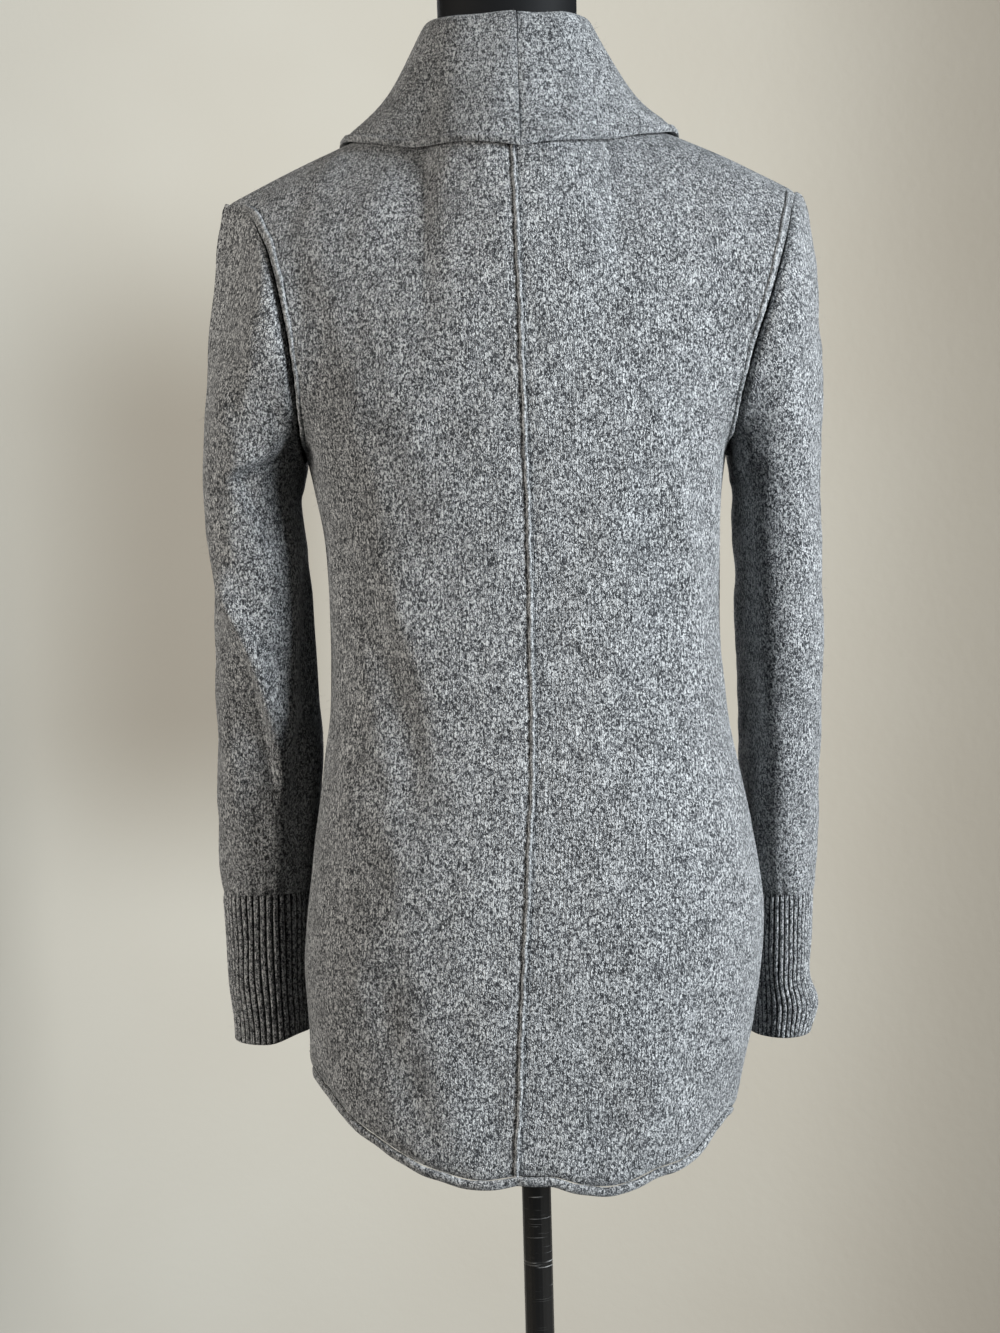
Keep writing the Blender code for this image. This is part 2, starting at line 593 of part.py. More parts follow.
def collar_section(side, along, tree):
    """Middle line of the double cloth: stand, roll, fall; and its facing normals."""
    seam, away = collar_seam(side, along)
    clearance = COLLAR_CLOTH / 2 + 0.0018 + CREST_LIFT * math.exp(-((along - 0.92) / 0.35) ** 2)
    roll = np.array([read(COLLAR, name, along) for name in ("roll_out", "roll_deep", "roll_height")])
    edge = np.array([read(COLLAR, name, along) for name in ("edge_out", "edge_deep", "edge_height")])
    roll[0] *= side
    edge[0] *= side
    edge = lay_on(tree, edge, clearance, touch=True)
    rise = float(np.dot(roll - seam, away)) / float(np.linalg.norm(roll - seam))
    start = seam + away * (3 * SEAM + COLLAR_CLOTH / 2 * math.sqrt(max(0.0, 1 - rise**2)))
    if along == 0:
        start[0] = roll[0] = edge[0] = side * 0.5 * SEAM
    up = (roll - start) / np.linalg.norm(roll - start)
    out = (edge - roll) - up * np.dot(edge - roll, up)
    out /= np.linalg.norm(out)
    line = [start, start * 0.55 + roll * 0.45 + away * 0.001, roll]
    for turn in (60, 120, 180):
        a = math.radians(turn)
        line.append(roll + ROLL * (out * (1 - math.cos(a)) + up * math.sin(a)))
    fall, reach = line[-1], float(np.linalg.norm(edge - line[-1]))
    knee = fall - up * 0.45 * reach + out * 0.02 * reach
    for t in (0.2, 0.4, 0.6, 0.8, 1.0):
        line.append((1 - t) ** 2 * fall + 2 * t * (1 - t) * knee + t**2 * edge)
    line = [p if i < 3 else lay_on(tree, p, clearance) for i, p in enumerate(line)]
    line = np.array(line)
    if along == 0:
        line[:, 0] = side * 0.5 * SEAM
    tangent = np.gradient(line, axis=0)
    axis = np.cross(up, out)
    facing = np.cross(axis, tangent)
    facing /= np.linalg.norm(facing, axis=1)[:, None]
    return line, facing


def build_collar(name, collection, finish, side, tree):
    neck = [0] + [u / NECK_SHARE for u in BACK_COLUMNS[1:4]] + [1 + HALF_GAP]
    edge = [2 - v for v in ARM_ROWS[-2::-1]] + [2.0]
    lapel = [2 + (1 - v) / (1 - LAPEL_SHARE) for v in PANEL_ROWS[8:5:-1]]
    stations = neck + edge + lapel[:-1] + [2.98]
    outer, inner = [], []
    for along in stations:
        line, facing = collar_section(side, along, tree)
        outer.append(line + facing * COLLAR_CLOTH / 2)
        inner.append(line - facing * COLLAR_CLOTH / 2)
    return wall(name, collection, finish, np.array(outer), np.array(inner), closed=False)


# ---------------------------------------------------------------- dress form and stand
def build_form(collection, finish):
    """Smooth closed torso with shoulder ends and a neck."""
    bend = 2 / 2.25
    turns = np.radians(np.linspace(0, 360, 28, endpoint=False))
    sections = []
    for height in [row[0] for row in FORM[1]]:
        wide = read(FORM, "wide", height)
        back, front = read(FORM, "back", height), read(FORM, "front", height)
        sections.append([(wide * power(math.cos(a), bend),
                          (back if math.sin(a) >= 0 else front) * power(math.sin(a), bend), height)
                         for a in turns])
    return tube("dress_form", collection, finish, np.array(sections))


def turned(name, collection, finish, profile, steps=48):
    """Solid of revolution about the origin's vertical axis."""
    mesh = bpy.data.meshes.new(name)
    mesh.from_pydata([(r, 0, z) for r, z in profile], [(i, i + 1) for i in range(len(profile) - 1)], [])
    piece = bpy.data.objects.new(name, mesh)
    mesh.materials.append(finish)
    collection.objects.link(piece)
    screw = piece.modifiers.new("turn", "SCREW")
    screw.steps = screw.render_steps = steps
    screw.use_merge_vertices = True
    screw.merge_threshold = 0.0001
    screw.use_smooth_shade = True
    return piece


def build_stand(collection, steel, iron):
    turned("stand_pole", collection, steel, (
        (0, FORM_LOW - SEAM), (POLE_RADIUS, FORM_LOW - SEAM),
        (POLE_RADIUS, BASE_THICK + SEAM), (0, BASE_THICK + SEAM)), steps=24)
    rim = BASE_RADIUS
    turned("stand_base", collection, iron, (
        (0, BASE_THICK), (rim - 0.0060, BASE_THICK), (rim - 0.0018, BASE_THICK - 0.0012),
        (rim, BASE_THICK - 0.0035), (rim, 0.0015), (rim - 0.0015, 0), (0, 0)))


# ---------------------------------------------------------------- assembly
def build():
    for old in list(bpy.data.objects):
        bpy.data.objects.remove(old, do_unlink=True)
    parts = bpy.data.collections.new("shawl_collar_cardigan")
    bpy.context.scene.collection.children.link(parts)
    wool = material("grey_melange_wool", (0.20, 0.21, 0.22), 0.92)
    rib = material("grey_melange_rib", (0.17, 0.18, 0.19), 0.92)
    jersey = material("black_form_cover", (0.012, 0.012, 0.013), 0.75)
    steel = material("black_pole_enamel", (0.010, 0.010, 0.011), 0.25, 0.3)
    iron = material("black_base_enamel", (0.012, 0.012, 0.013), 0.45, 0.2)
    tree = body_tree()
    for side, word in ((LEFT, "left"), (RIGHT, "right")):
        build_panel("back_" + word, parts, wool, side, BACK)
        build_panel("front_" + word, parts, wool, side, FRONT)
        build_sleeve("sleeve_" + word, parts, wool, side)
        build_cuff("cuff_" + word, parts, rib, side)
        build_collar("collar_" + word, parts, wool, side, tree)
        build_front_band("front_band_" + word, parts, wool, side)
        build_armhole_ridge("seam_ridge_armhole_" + word, parts, wool, side)
    build_centre_ridge(parts, wool)
    build_back_band(parts, wool)
    build_form(parts, jersey)
    build_stand(parts, steel, iron)


build()
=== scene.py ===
"""Looks of a shawl collar cardigan hanging on a limbless dress form.

Every cloth piece is a thin closed shell: the garment's own surface, read from
its size tables, then draped by listed folds.
Metres, +Z up; the garment's front faces -Y and its wearer's left is +X.
"""

import json
import math
from collections import namedtuple

import bmesh
import bpy
import numpy as np
from mathutils import Matrix, Vector
from mathutils.bvhtree import BVHTree

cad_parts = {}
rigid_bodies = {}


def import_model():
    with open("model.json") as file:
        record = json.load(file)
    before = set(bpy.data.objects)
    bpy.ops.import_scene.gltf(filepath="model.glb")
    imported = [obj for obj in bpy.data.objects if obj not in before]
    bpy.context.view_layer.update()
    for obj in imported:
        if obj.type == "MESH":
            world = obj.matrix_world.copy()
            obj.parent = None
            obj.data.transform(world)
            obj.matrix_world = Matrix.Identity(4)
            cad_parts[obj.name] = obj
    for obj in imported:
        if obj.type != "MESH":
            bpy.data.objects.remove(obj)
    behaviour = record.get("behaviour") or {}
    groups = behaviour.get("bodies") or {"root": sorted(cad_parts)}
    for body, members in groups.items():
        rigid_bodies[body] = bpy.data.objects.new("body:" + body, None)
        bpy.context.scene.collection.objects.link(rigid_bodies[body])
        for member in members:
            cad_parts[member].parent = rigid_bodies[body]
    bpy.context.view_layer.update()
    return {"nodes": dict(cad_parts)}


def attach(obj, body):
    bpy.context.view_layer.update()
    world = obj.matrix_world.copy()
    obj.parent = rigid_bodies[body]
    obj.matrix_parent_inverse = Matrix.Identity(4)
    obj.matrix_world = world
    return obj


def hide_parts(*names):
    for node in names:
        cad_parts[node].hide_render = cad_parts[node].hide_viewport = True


for old in list(bpy.data.objects):
    bpy.data.objects.remove(old, do_unlink=True)
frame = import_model()

# ---------------------------------------------------------------- sizes
CLOTH = 0.0022          # thickness of the felted knit
COLLAR_CLOTH = 0.0036   # the collar is knitted double
SEAM = 0.0003           # gap between two pieces that are sewn together
HALF_GAP = 0.0008       # half a seam gap, as a share of a panel's width
SHOULDER_GAP = 0.004    # half the shoulder seam's gap, as a share of the armhole's height
ARMPIT = 1.173          # height of the bottom of the armholes
LAPEL_SHARE = 2 / 3     # where the collar has narrowed to nothing, on the way up to the armpit
BAND_HEIGHT = 0.0066    # rolled band along the hem and the front edges
BAND_THICK = 0.0040
CORNER = 0.075          # radius of the fronts' rounded lower corners
BACK_ROUND = 2.35       # superellipse power of the back half of a body section
FRONT_ROUND = 2.15      # and of the front half
NECK_HALF = 0.061       # half width of the neckline at the shoulder seams
NECK_DEEP = 0.062       # neckline's distance behind the origin at centre back
NECK_LOW = 1.402        # its height there
NECK_RISE = 0.016       # and its rise to the shoulder seams
SHOULDER_BOW = 0.0035   # rise of the shoulder seam above a straight line
NECK_SHARE = 0.34       # share of the panel's top edge that is neckline
WELT_SHARE = 0.980      # armhole welts lie on this column of the back panels

ROLL = 0.0030           # radius of the collar's roll line
BELL = 0.12             # how far the collar bells out over the shoulders, as a share of its fall
EDGE_GAP = 0.0022       # how far the collar's outer edge stands off the cloth
COLLAR_STRAY = -0.0058  # the middle of the collar hangs this far off the centre back
STAND_ROWS = 10         # rows of the collar's mesh from the neckline to the roll
FALL_ROWS = 40          # and from the roll to the outer edge

BACK_BAND_STANDS = 0.0021    # how far the back's rolled band stands off the cloth
FRONT_BAND_STANDS = 0.0013   # and the fronts' bands
BAND_FLAT = 0.055       # the bands lie flatter this near to the side seams
BAND_NARROW = 0.030     # and are narrower this near
CENTRE_RIDGE = (0.0031, 0.0024, -0.0004)    # raised seam: width, height, and where its edges lie
ARMHOLE_RIDGE = (0.0033, 0.0019, -0.0003)
# Lines sunk into the cloth: how deep, and half width.
SIDE_SEAM = (0.0011, 0.0030)
CENTRE_SEAM = (0.0012, 0.0028)
TOP_SEAM = (0.0010, 0.0030)
HEM_GROOVE = (0.0019, 0.0030)
SLEEVE_SEAM = (0.0013, 0.0035)
CUFF_SEAM = (0.0008, 0.0022)
COLLAR_GROOVE = (0.0013, 0.0012)
COLLAR_SECOND_GROOVE = (0.0009, 0.0011)
COLLAR_MIDDLE_SEAM = (0.0009, 0.0022)
COLLAR_LIP = (0.0011, 0.0018)               # the rim of the outer edge stands up

WALE = 0.00245          # width of one column of stitches
COURSE = 0.00175        # height of one row of stitches
RIBS = 42               # ribs round a cuff
POINTS_A_RIB = 9
RIB_DEPTH = 0.0021
SLEEVE_GIRTH = 0.262    # mean length round a sleeve, for its columns of stitches
# Loose fibres on each kind of piece: short ones of the nap, and long stray hairs.
NAP = {
    "back": (6400, 90), "front": (3600, 90), "sleeve": (7600, 120), "cuff": (1600, 40), "collar": (2800, 50),
}
NEPS = 700              # small pills and neps on the whole garment

# ---------------------------------------------------------------- looks
WOOL_DARK = (0.026, 0.028, 0.031, 1)
WOOL_MIDDLE = (0.185, 0.192, 0.200, 1)
WOOL_PALE = (0.580, 0.592, 0.592, 1)
COLLAR_SHADED_PALE = (0.470, 0.482, 0.482, 1)      # painted shade: the collar is knitted sideways and takes less light, so its pale fibres are painted darker
# Painted highlight: the raised seams' dark and middle fibres, paler than the rest of the wool.
RIDGE_HIGHLIGHT_DARK = (0.085, 0.090, 0.095, 1)
RIDGE_HIGHLIGHT_MIDDLE = (0.240, 0.249, 0.256, 1)
FURROW_PAINTED_SHADE = (0.028, 0.029, 0.032, 1)           # painted shade between two columns of stitches
RIB_PAINTED_SHADE = (0.006, 0.006, 0.007, 1)       # painted shade between two ribs
NEP_PALE = (0.60, 0.60, 0.58, 1)
ENAMEL_BLACK = (0.004, 0.0043, 0.005, 1)
ENAMEL_RUBBED = (0.34, 0.34, 0.33, 1)
COVER_BLACK = (0.0030, 0.0034, 0.0040, 1)
COVER_WORN = (0.0055, 0.0060, 0.0068, 1)
WALL_PALE = (0.55, 0.53, 0.465, 1)
WALL_WARM = (0.47, 0.43, 0.36, 1)
# Painted shade on the wall and floor towards -X, and a painted shadow of the garment on the wall towards +X.
WALL_PAINTED_SHADE = (0.23, 0.195, 0.15, 1)
WALL_RADIUS = 0.95
WALL_HEIGHT = 2.6
FLOOR_HALF = 6.0
AIR = 0.016             # strength of the light that comes from all round
AIR_COLOUR = (0.80, 0.82, 0.86, 1)
EYE = (0.0163, 1.402, 1.030)
EYE_LENS = 54.09
EYE_TILT = math.radians(1.44)
# Lamps: where, what they face, width, height, colour, watts.
LAMPS = (
    ("daylight_window", (-2.22, 1.40, 1.62), (0, 0, 1.05), 0.9, 1.6, (0.91, 0.96, 1.0), 158.0),
    ("warm_room", (2.40, 1.05, 1.45), (0, 0, 1.05), 0.8, 1.4, (1.0, 0.94, 0.86), 58.0),
    ("front_lamp", (0.3, -2.6, 1.8), (0, 0, 1.0), 1.8, 1.6, (0.97, 0.98, 1.0), 60.0),
)

# ---------------------------------------------------------------- tables
# The body from hem to armpit: half widths to the wearer's left and right,
# depths behind and before the origin, and how far the centre back seam strays.
BODY = ("height", "left", "right", "back", "front", "stray"), (
    (0.660, 0.1500, 0.1290, 0.1180, 0.1060, 0.0140),
    (0.714, 0.1520, 0.1365, 0.1200, 0.1080, 0.0135),
    (0.748, 0.1545, 0.1450, 0.1220, 0.1095, 0.0110),
    (0.775, 0.1550, 0.1510, 0.1240, 0.1105, 0.0095),
    (0.800, 0.1565, 0.1555, 0.1250, 0.1115, 0.0082),
    (0.825, 0.1572, 0.1600, 0.1260, 0.1120, 0.0065),
    (0.850, 0.1550, 0.1620, 0.1250, 0.1120, 0.0045),
    (0.890, 0.1504, 0.1595, 0.1220, 0.1110, 0.0018),
    (0.925, 0.1463, 0.1545, 0.1170, 0.1095, -0.0005),
    (0.960, 0.1410, 0.1475, 0.1100, 0.1080, -0.0030),
    (0.990, 0.1360, 0.1420, 0.1040, 0.1065, -0.0038),
    (1.030, 0.1342, 0.1385, 0.0990, 0.1060, -0.0040),
    (1.090, 0.1344, 0.1385, 0.0970, 0.1090, -0.0046),
    (1.130, 0.1375, 0.1395, 0.1000, 0.1150, -0.0044),
    (1.155, 0.1425, 0.1420, 0.1030, 0.1190, -0.0040),
    (1.173, 0.1465, 0.1450, 0.1055, 0.1210, -0.0036),
)
# Height of the hem round the body, by degrees from the side seam (0) to
# centre back (90) and towards centre front (-90).
HEM = ("angle", "left", "right"), (
    (-90, 0.7000, 0.7000), (-65, 0.7030, 0.7030), (-48, 0.7150, 0.7120),
    (-30, 0.7330, 0.7200), (-14, 0.7430, 0.7150), (0, 0.7470, 0.7120),
    (12, 0.7530, 0.7180), (19, 0.7525, 0.7205), (26, 0.7480, 0.7130),
    (41, 0.7335, 0.6988), (53, 0.7200, 0.6935), (64, 0.7085, 0.6868),
    (74, 0.6995, 0.6880), (83, 0.6940, 0.6950), (90, 0.6958, 0.6958),
)
# The armhole from its bottom (0) to the shoulder tip (1).
ARMHOLE = ("share", "height", "left", "right", "back", "front"), (
    (0.00, 1.1730, 0.1465, 0.1450, 0.0000, 0.0000),
    (0.08, 1.1775, 0.1470, 0.1455, 0.0200, -0.0200),
    (0.18, 1.1900, 0.1480, 0.1475, 0.0400, -0.0400),
    (0.30, 1.2130, 0.1490, 0.1525, 0.0550, -0.0540),
    (0.45, 1.2430, 0.1520, 0.1610, 0.0610, -0.0620),
    (0.60, 1.2730, 0.1570, 0.1715, 0.0600, -0.0640),
    (0.74, 1.3010, 0.1630, 0.1805, 0.0530, -0.0580),
    (0.86, 1.3250, 0.1710, 0.1880, 0.0400, -0.0460),
    (0.94, 1.3465, 0.1835, 0.1945, 0.0210, -0.0260),
    (1.00, 1.3590, 0.2020, 0.2005, -0.0040, -0.0040),
)
# Centre back line and front edge above the armpit, by share of the way up.
CENTRE = ("share", "back_height", "back_deep", "edge_height", "edge_out", "edge_deep"), (
    (0.00, 1.1730, 0.1055, 1.1730, 0.0320, -0.1199),
    (0.20, 1.2200, 0.1100, 1.2200, 0.0370, -0.1170),
    (0.45, 1.2800, 0.1085, 1.2850, 0.0450, -0.1010),
    (0.70, 1.3380, 0.0965, 1.3500, 0.0530, -0.0690),
    (0.88, 1.3800, 0.0785, 1.3960, 0.0590, -0.0340),
    (1.00, 1.4020, 0.0620, 1.4180, 0.0610, 0.0000),
)
# Front edge below the armpit: distance from the middle.
FRONT_EDGE = ("height", "out"), (
    (0.690, 0.044), (0.800, 0.037), (0.920, 0.030), (1.035, 0.027),
    (1.100, 0.029), (1.173, 0.032),
)
# The sleeves' tubes: centre, half width, half depth.
SLEEVE_LEFT = ("height", "out", "deep", "wide", "thick"), (
    (1.150, 0.1870, -0.004, 0.0365, 0.0460),
    (1.125, 0.1856, -0.006, 0.0367, 0.0462),
    (1.088, 0.1819, -0.009, 0.0352, 0.0465),
    (1.050, 0.1823, -0.013, 0.0357, 0.0455),
    (1.010, 0.1827, -0.018, 0.0368, 0.0445),
    (0.965, 0.1820, -0.024, 0.0374, 0.0435),
    (0.920, 0.1844, -0.031, 0.0357, 0.0425),
    (0.874, 0.1862, -0.037, 0.0336, 0.0410),
)
SLEEVE_RIGHT = ("height", "out", "deep", "wide", "thick"), (
    (1.150, 0.1806, -0.004, 0.0326, 0.0480),
    (1.125, 0.1803, -0.006, 0.0319, 0.0485),
    (1.088, 0.1811, -0.010, 0.0311, 0.0485),
    (1.050, 0.1813, -0.015, 0.0302, 0.0480),
    (1.010, 0.1816, -0.021, 0.0294, 0.0475),
    (0.965, 0.1812, -0.030, 0.0286, 0.0465),
    (0.920, 0.1827, -0.044, 0.0275, 0.0450),
    (0.864, 0.1829, -0.052, 0.0250, 0.0430),
)
CUFF_LEFT = ("height", "out", "deep", "wide", "thick"), (
    (0.8736, 0.1868, -0.0370, 0.0318, 0.0385),
    (0.8430, 0.1868, -0.0380, 0.0305, 0.0370),
    (0.8100, 0.1868, -0.0390, 0.0297, 0.0360),
    (0.7850, 0.1856, -0.0400, 0.0285, 0.0352),
    (0.7690, 0.1850, -0.0400, 0.0280, 0.0350),
)
CUFF_RIGHT = ("height", "out", "deep", "wide", "thick"), (
    (0.8636, 0.1822, -0.0520, 0.0236, 0.0410),
    (0.8400, 0.1812, -0.0525, 0.0230, 0.0400),
    (0.8180, 0.1806, -0.0530, 0.0223, 0.0395),
    (0.8000, 0.1804, -0.0530, 0.0218, 0.0390),
    (0.7850, 0.1828, -0.0530, 0.0242, 0.0390),
    (0.7630, 0.1806, -0.0530, 0.0220, 0.0380),
)
# The collar from centre back (0) along the neckline to the shoulder seam (1),
# down the front edge to the armpit's height (2) and to its end (3):
# the roll line and the outer edge.
COLLAR = ("along", "roll_out", "roll_deep", "roll_height",
          "edge_out", "edge_deep", "edge_height"), (
    (0.00, 0.0000, 0.0600, 1.4637, 0.0000, 0.0862, 1.3725),
    (0.30, 0.0280, 0.0540, 1.4650, 0.0430, 0.0735, 1.3790),
    (0.62, 0.0460, 0.0350, 1.4685, 0.0800, 0.0450, 1.3870),
    (0.88, 0.0525, 0.0060, 1.4700, 0.1050, 0.0250, 1.3925),
    (1.08, 0.0530, -0.0240, 1.4600, 0.1180, -0.0020, 1.3985),
    (1.25, 0.0470, -0.0570, 1.4240, 0.1170, -0.0400, 1.3800),
    (1.50, 0.0340, -0.0960, 1.3380, 0.1060, -0.0850, 1.3200),
    (1.75, 0.0250, -0.1180, 1.2620, 0.0910, -0.1170, 1.2500),
    (2.00, 0.0190, -0.1260, 1.1780, 0.0720, -0.1230, 1.1700),
    (2.50, 0.0150, -0.1160, 1.1030, 0.0490, -0.1180, 1.0950),
    (2.80, 0.0200, -0.1120, 1.0650, 0.0395, -0.1135, 1.0600),
    (3.00, 0.0260, -0.1090, 1.0400, 0.0330, -0.1110, 1.0360),
)
# The dress form's sections: half width, depths behind and before the origin.
FORM = ("height", "wide", "back", "front"), (
    (0.745, 0.1330, 0.1080, 0.0960), (0.752, 0.1370, 0.1120, 0.1000),
    (0.800, 0.1450, 0.1170, 0.1050), (0.860, 0.1450, 0.1170, 0.1050),
    (0.930, 0.1370, 0.1080, 0.1010), (1.000, 0.1260, 0.0940, 0.0970),
    (1.060, 0.1230, 0.0880, 0.0980), (1.120, 0.1270, 0.0900, 0.1050),
    (1.180, 0.1360, 0.0970, 0.1120), (1.230, 0.1420, 0.0990, 0.1060),
    (1.275, 0.1480, 0.0950, 0.0900), (1.315, 0.1600, 0.0840, 0.0680),
    (1.340, 0.1690, 0.0620, 0.0470), (1.353, 0.1650, 0.0480, 0.0370),
    (1.366, 0.1400, 0.0470, 0.0350), (1.380, 0.1060, 0.0480, 0.0370),
    (1.395, 0.0700, 0.0460, 0.0390), (1.412, 0.0520, 0.0450, 0.0430),
    (1.435, 0.0490, 0.0460, 0.0480), (1.500, 0.0488, 0.0465, 0.0520),
    (1.518, 0.0483, 0.0460, 0.0515), (1.525, 0.0440, 0.0420, 0.0470),
)

LEFT, RIGHT = 1, -1
BACK, FRONT = 1, -1
SIDES = ((LEFT, "left"), (RIGHT, "right"))

# ---------------------------------------------------------------- folds, drawn on the cloth
# Each fold: its line as (x, height) points, its half width, and how far it
# stands out (+) or sinks in (-), all in metres.
BACK_FOLDS = (
    (((0.130, 1.160), (0.122, 1.125), (0.110, 1.085), (0.094, 1.045), (0.083, 1.000),
      (0.077, 0.955), (0.080, 0.915)), 0.0125, -0.0042),
    (((0.104, 1.150), (0.090, 1.090), (0.072, 1.035), (0.060, 0.980)), 0.0150, 0.0016),
    (((-0.092, 1.215), (-0.097, 1.178), (-0.105, 1.140), (-0.111, 1.100), (-0.114, 1.055),
      (-0.115, 1.010)), 0.0105, 0.0030),
    (((-0.126, 1.165), (-0.125, 1.120), (-0.127, 1.070), (-0.130, 1.020)), 0.0075, -0.0024),
    (((-0.080, 1.190), (-0.085, 1.130), (-0.090, 1.070)), 0.0110, -0.0013),
    (((0.158, 1.325), (0.138, 1.270), (0.122, 1.205), (0.118, 1.165)), 0.0160, -0.0022),
    (((-0.160, 1.320), (-0.140, 1.262), (-0.126, 1.205)), 0.0140, -0.0016),
    (((0.118, 0.968), (0.092, 0.948), (0.060, 0.938), (0.034, 0.936)), 0.0120, -0.0014),
    (((0.104, 0.925), (0.080, 0.905), (0.052, 0.898)), 0.0130, 0.0011),
    (((-0.128, 0.962), (-0.098, 0.945), (-0.070, 0.942)), 0.0110, -0.0011),
    (((0.104, 0.850), (0.101, 0.800), (0.094, 0.745)), 0.0150, -0.0022),
    (((0.060, 0.800), (0.056, 0.750), (0.052, 0.700)), 0.0160, 0.0024),
    (((0.018, 0.770), (0.019, 0.730), (0.020, 0.690)), 0.0110, -0.0018),
    (((-0.038, 0.830), (-0.040, 0.770), (-0.042, 0.690)), 0.0170, -0.0020),
    (((-0.080, 0.790), (-0.076, 0.740), (-0.074, 0.700)), 0.0140, 0.0022),
    (((-0.112, 0.830), (-0.108, 0.780), (-0.102, 0.730)), 0.0120, -0.0020),
)
FRONT_FOLDS = (
    (((0.078, 1.165), (0.083, 1.060), (0.086, 0.930), (0.082, 0.800), (0.080, 0.720)), 0.0130, -0.0034),
    (((0.108, 1.130), (0.110, 1.030), (0.113, 0.910), (0.112, 0.790)), 0.0120, 0.0026),
    (((0.056, 1.000), (0.058, 0.880), (0.062, 0.760)), 0.0100, 0.0022),
    (((0.148, 1.260), (0.120, 1.215), (0.098, 1.175)), 0.0130, -0.0026),
    (((-0.074, 1.150), (-0.080, 1.040), (-0.084, 0.900), (-0.078, 0.770)), 0.0120, -0.0031),
    (((-0.102, 1.160), (-0.106, 1.060), (-0.114, 0.930), (-0.110, 0.800), (-0.104, 0.730)), 0.0140, 0.0024),
    (((-0.132, 1.120), (-0.128, 1.020), (-0.136, 0.910)), 0.0090, -0.0020),
    (((-0.150, 1.250), (-0.124, 1.205), (-0.104, 1.160)), 0.0120, -0.0022),
)
SLEEVE_FOLDS = {
    (LEFT, BACK): (
        (((0.1470, 1.130), (0.1475, 1.080), (0.1480, 1.045), (0.1496, 1.015), (0.1535, 0.984),
          (0.1575, 0.952), (0.1600, 0.920), (0.1640, 0.890)), 0.0055, -0.0060),
        (((0.2145, 1.128), (0.2100, 1.100), (0.2020, 1.076), (0.1905, 1.049), (0.1815, 1.020),
          (0.1750, 0.990), (0.1710, 0.960)), 0.0110, 0.0056),
        (((0.2110, 0.985), (0.2060, 0.955), (0.2020, 0.920)), 0.0090, 0.0018),
        (((0.1900, 0.960), (0.1880, 0.925), (0.1900, 0.895)), 0.0075, -0.0015),
        (((0.2010, 1.290), (0.1960, 1.250), (0.1850, 1.215)), 0.0100, -0.0018),
        (((0.2080, 1.240), (0.2030, 1.205), (0.1960, 1.180)), 0.0090, 0.0016),
    ),
    (LEFT, FRONT): (
        (((0.1500, 1.120), (0.1600, 1.085), (0.1800, 1.060), (0.2060, 1.050)), 0.0085, -0.0042),
        (((0.1560, 1.060), (0.1700, 1.030), (0.1950, 1.015)), 0.0090, 0.0030),
        (((0.1540, 1.010), (0.1680, 0.985), (0.1900, 0.975)), 0.0070, -0.0024),
        (((0.1620, 0.940), (0.1800, 0.925), (0.2000, 0.922)), 0.0070, -0.0014),
    ),
    (RIGHT, BACK): (
        (((-0.1530, 1.180), (-0.1545, 1.110), (-0.1560, 1.050), (-0.1580, 0.980),
          (-0.1620, 0.900)), 0.0070, -0.0040),
        (((-0.2080, 1.085), (-0.1950, 1.068), (-0.1760, 1.060)), 0.0080, -0.0012),
        (((-0.2070, 1.000), (-0.1930, 0.984), (-0.1750, 0.980)), 0.0080, -0.0014),
        (((-0.1920, 0.945), (-0.1900, 0.915), (-0.1890, 0.885)), 0.0060, -0.0013),
        (((-0.2060, 1.280), (-0.2010, 1.230), (-0.1950, 1.190)), 0.0100, -0.0014),
    ),
    (RIGHT, FRONT): (
        (((-0.1520, 1.110), (-0.1650, 1.070), (-0.1850, 1.050), (-0.2060, 1.045)), 0.0080, -0.0036),
        (((-0.1580, 1.045), (-0.1720, 1.015), (-0.1960, 1.000)), 0.0080, 0.0026),
        (((-0.1580, 0.985), (-0.1720, 0.960), (-0.1920, 0.955)), 0.0065, -0.0020),
    ),
}
# Laps, where cloth bulges over cloth: the line, how far the upper side stands
# out and fades, how far the lower side sinks and fades.
SLEEVE_LAPS = {
    (LEFT, BACK): (
        (((0.1700, 0.934), (0.1720, 0.964), (0.1765, 0.993), (0.1835, 1.024), (0.1930, 1.054),
          (0.2040, 1.083), (0.2135, 1.110), (0.2190, 1.135)),
         0.0022, 0.014, 0.0110, 0.026),
        (((0.1500, 1.196), (0.1570, 1.1865), (0.1640, 1.1770), (0.1755, 1.1725), (0.1900, 1.1670),
          (0.2040, 1.1600)), 0.0040, 0.022, 0.0070, 0.026),
    ),
}

# Ridge of each shoulder seam's allowance, as (x, height) points.
SHOULDER_RIDGES = {
    LEFT: ((0.052, 1.391), (0.072, 1.3885), (0.098, 1.3845), (0.122, 1.3800), (0.138, 1.3755)),
    RIGHT: ((-0.050, 1.393), (-0.066, 1.390), (-0.086, 1.3865), (-0.104, 1.3835), (-0.118, 1.3800)),
}

# ---------------------------------------------------------------- mesh sizes
PANEL_COLUMNS = {BACK: 90, FRONT: 64}
ROWS_BELOW_ARMPIT, ROWS_ABOVE_ARMPIT = 148, 100
FIRST_ROW_UNDER_COLLAR = 90     # the collar may lie on the panels from this row up
SLEEVE_COLUMNS, CAP_ROWS, TUBE_ROWS = 116, 76, 126
CUFF_ROWS = 36
FORM_COLUMNS = 72
WALL_COLUMNS = 96

# ---------------------------------------------------------------- reading tables
def read(table, name, where):
    """A column's values at `where`, on a smooth curve through the rows."""
    names, rows = table
    rows = np.array(sorted(rows), float)
    at, value = rows[:, 0], rows[:, names.index(name)]
    return smooth_curve(at, value, np.clip(where, at[0], at[-1]))


def smooth_curve(at, value, where):
    """Values at `where` on a smooth curve through the given values."""
    slope = np.gradient(value, at)
    i = np.clip(np.searchsorted(at, where) - 1, 0, len(at) - 2)
    span = at[i + 1] - at[i]
    return hermite((where - at[i]) / span, value[i], span * slope[i], value[i + 1], span * slope[i + 1])


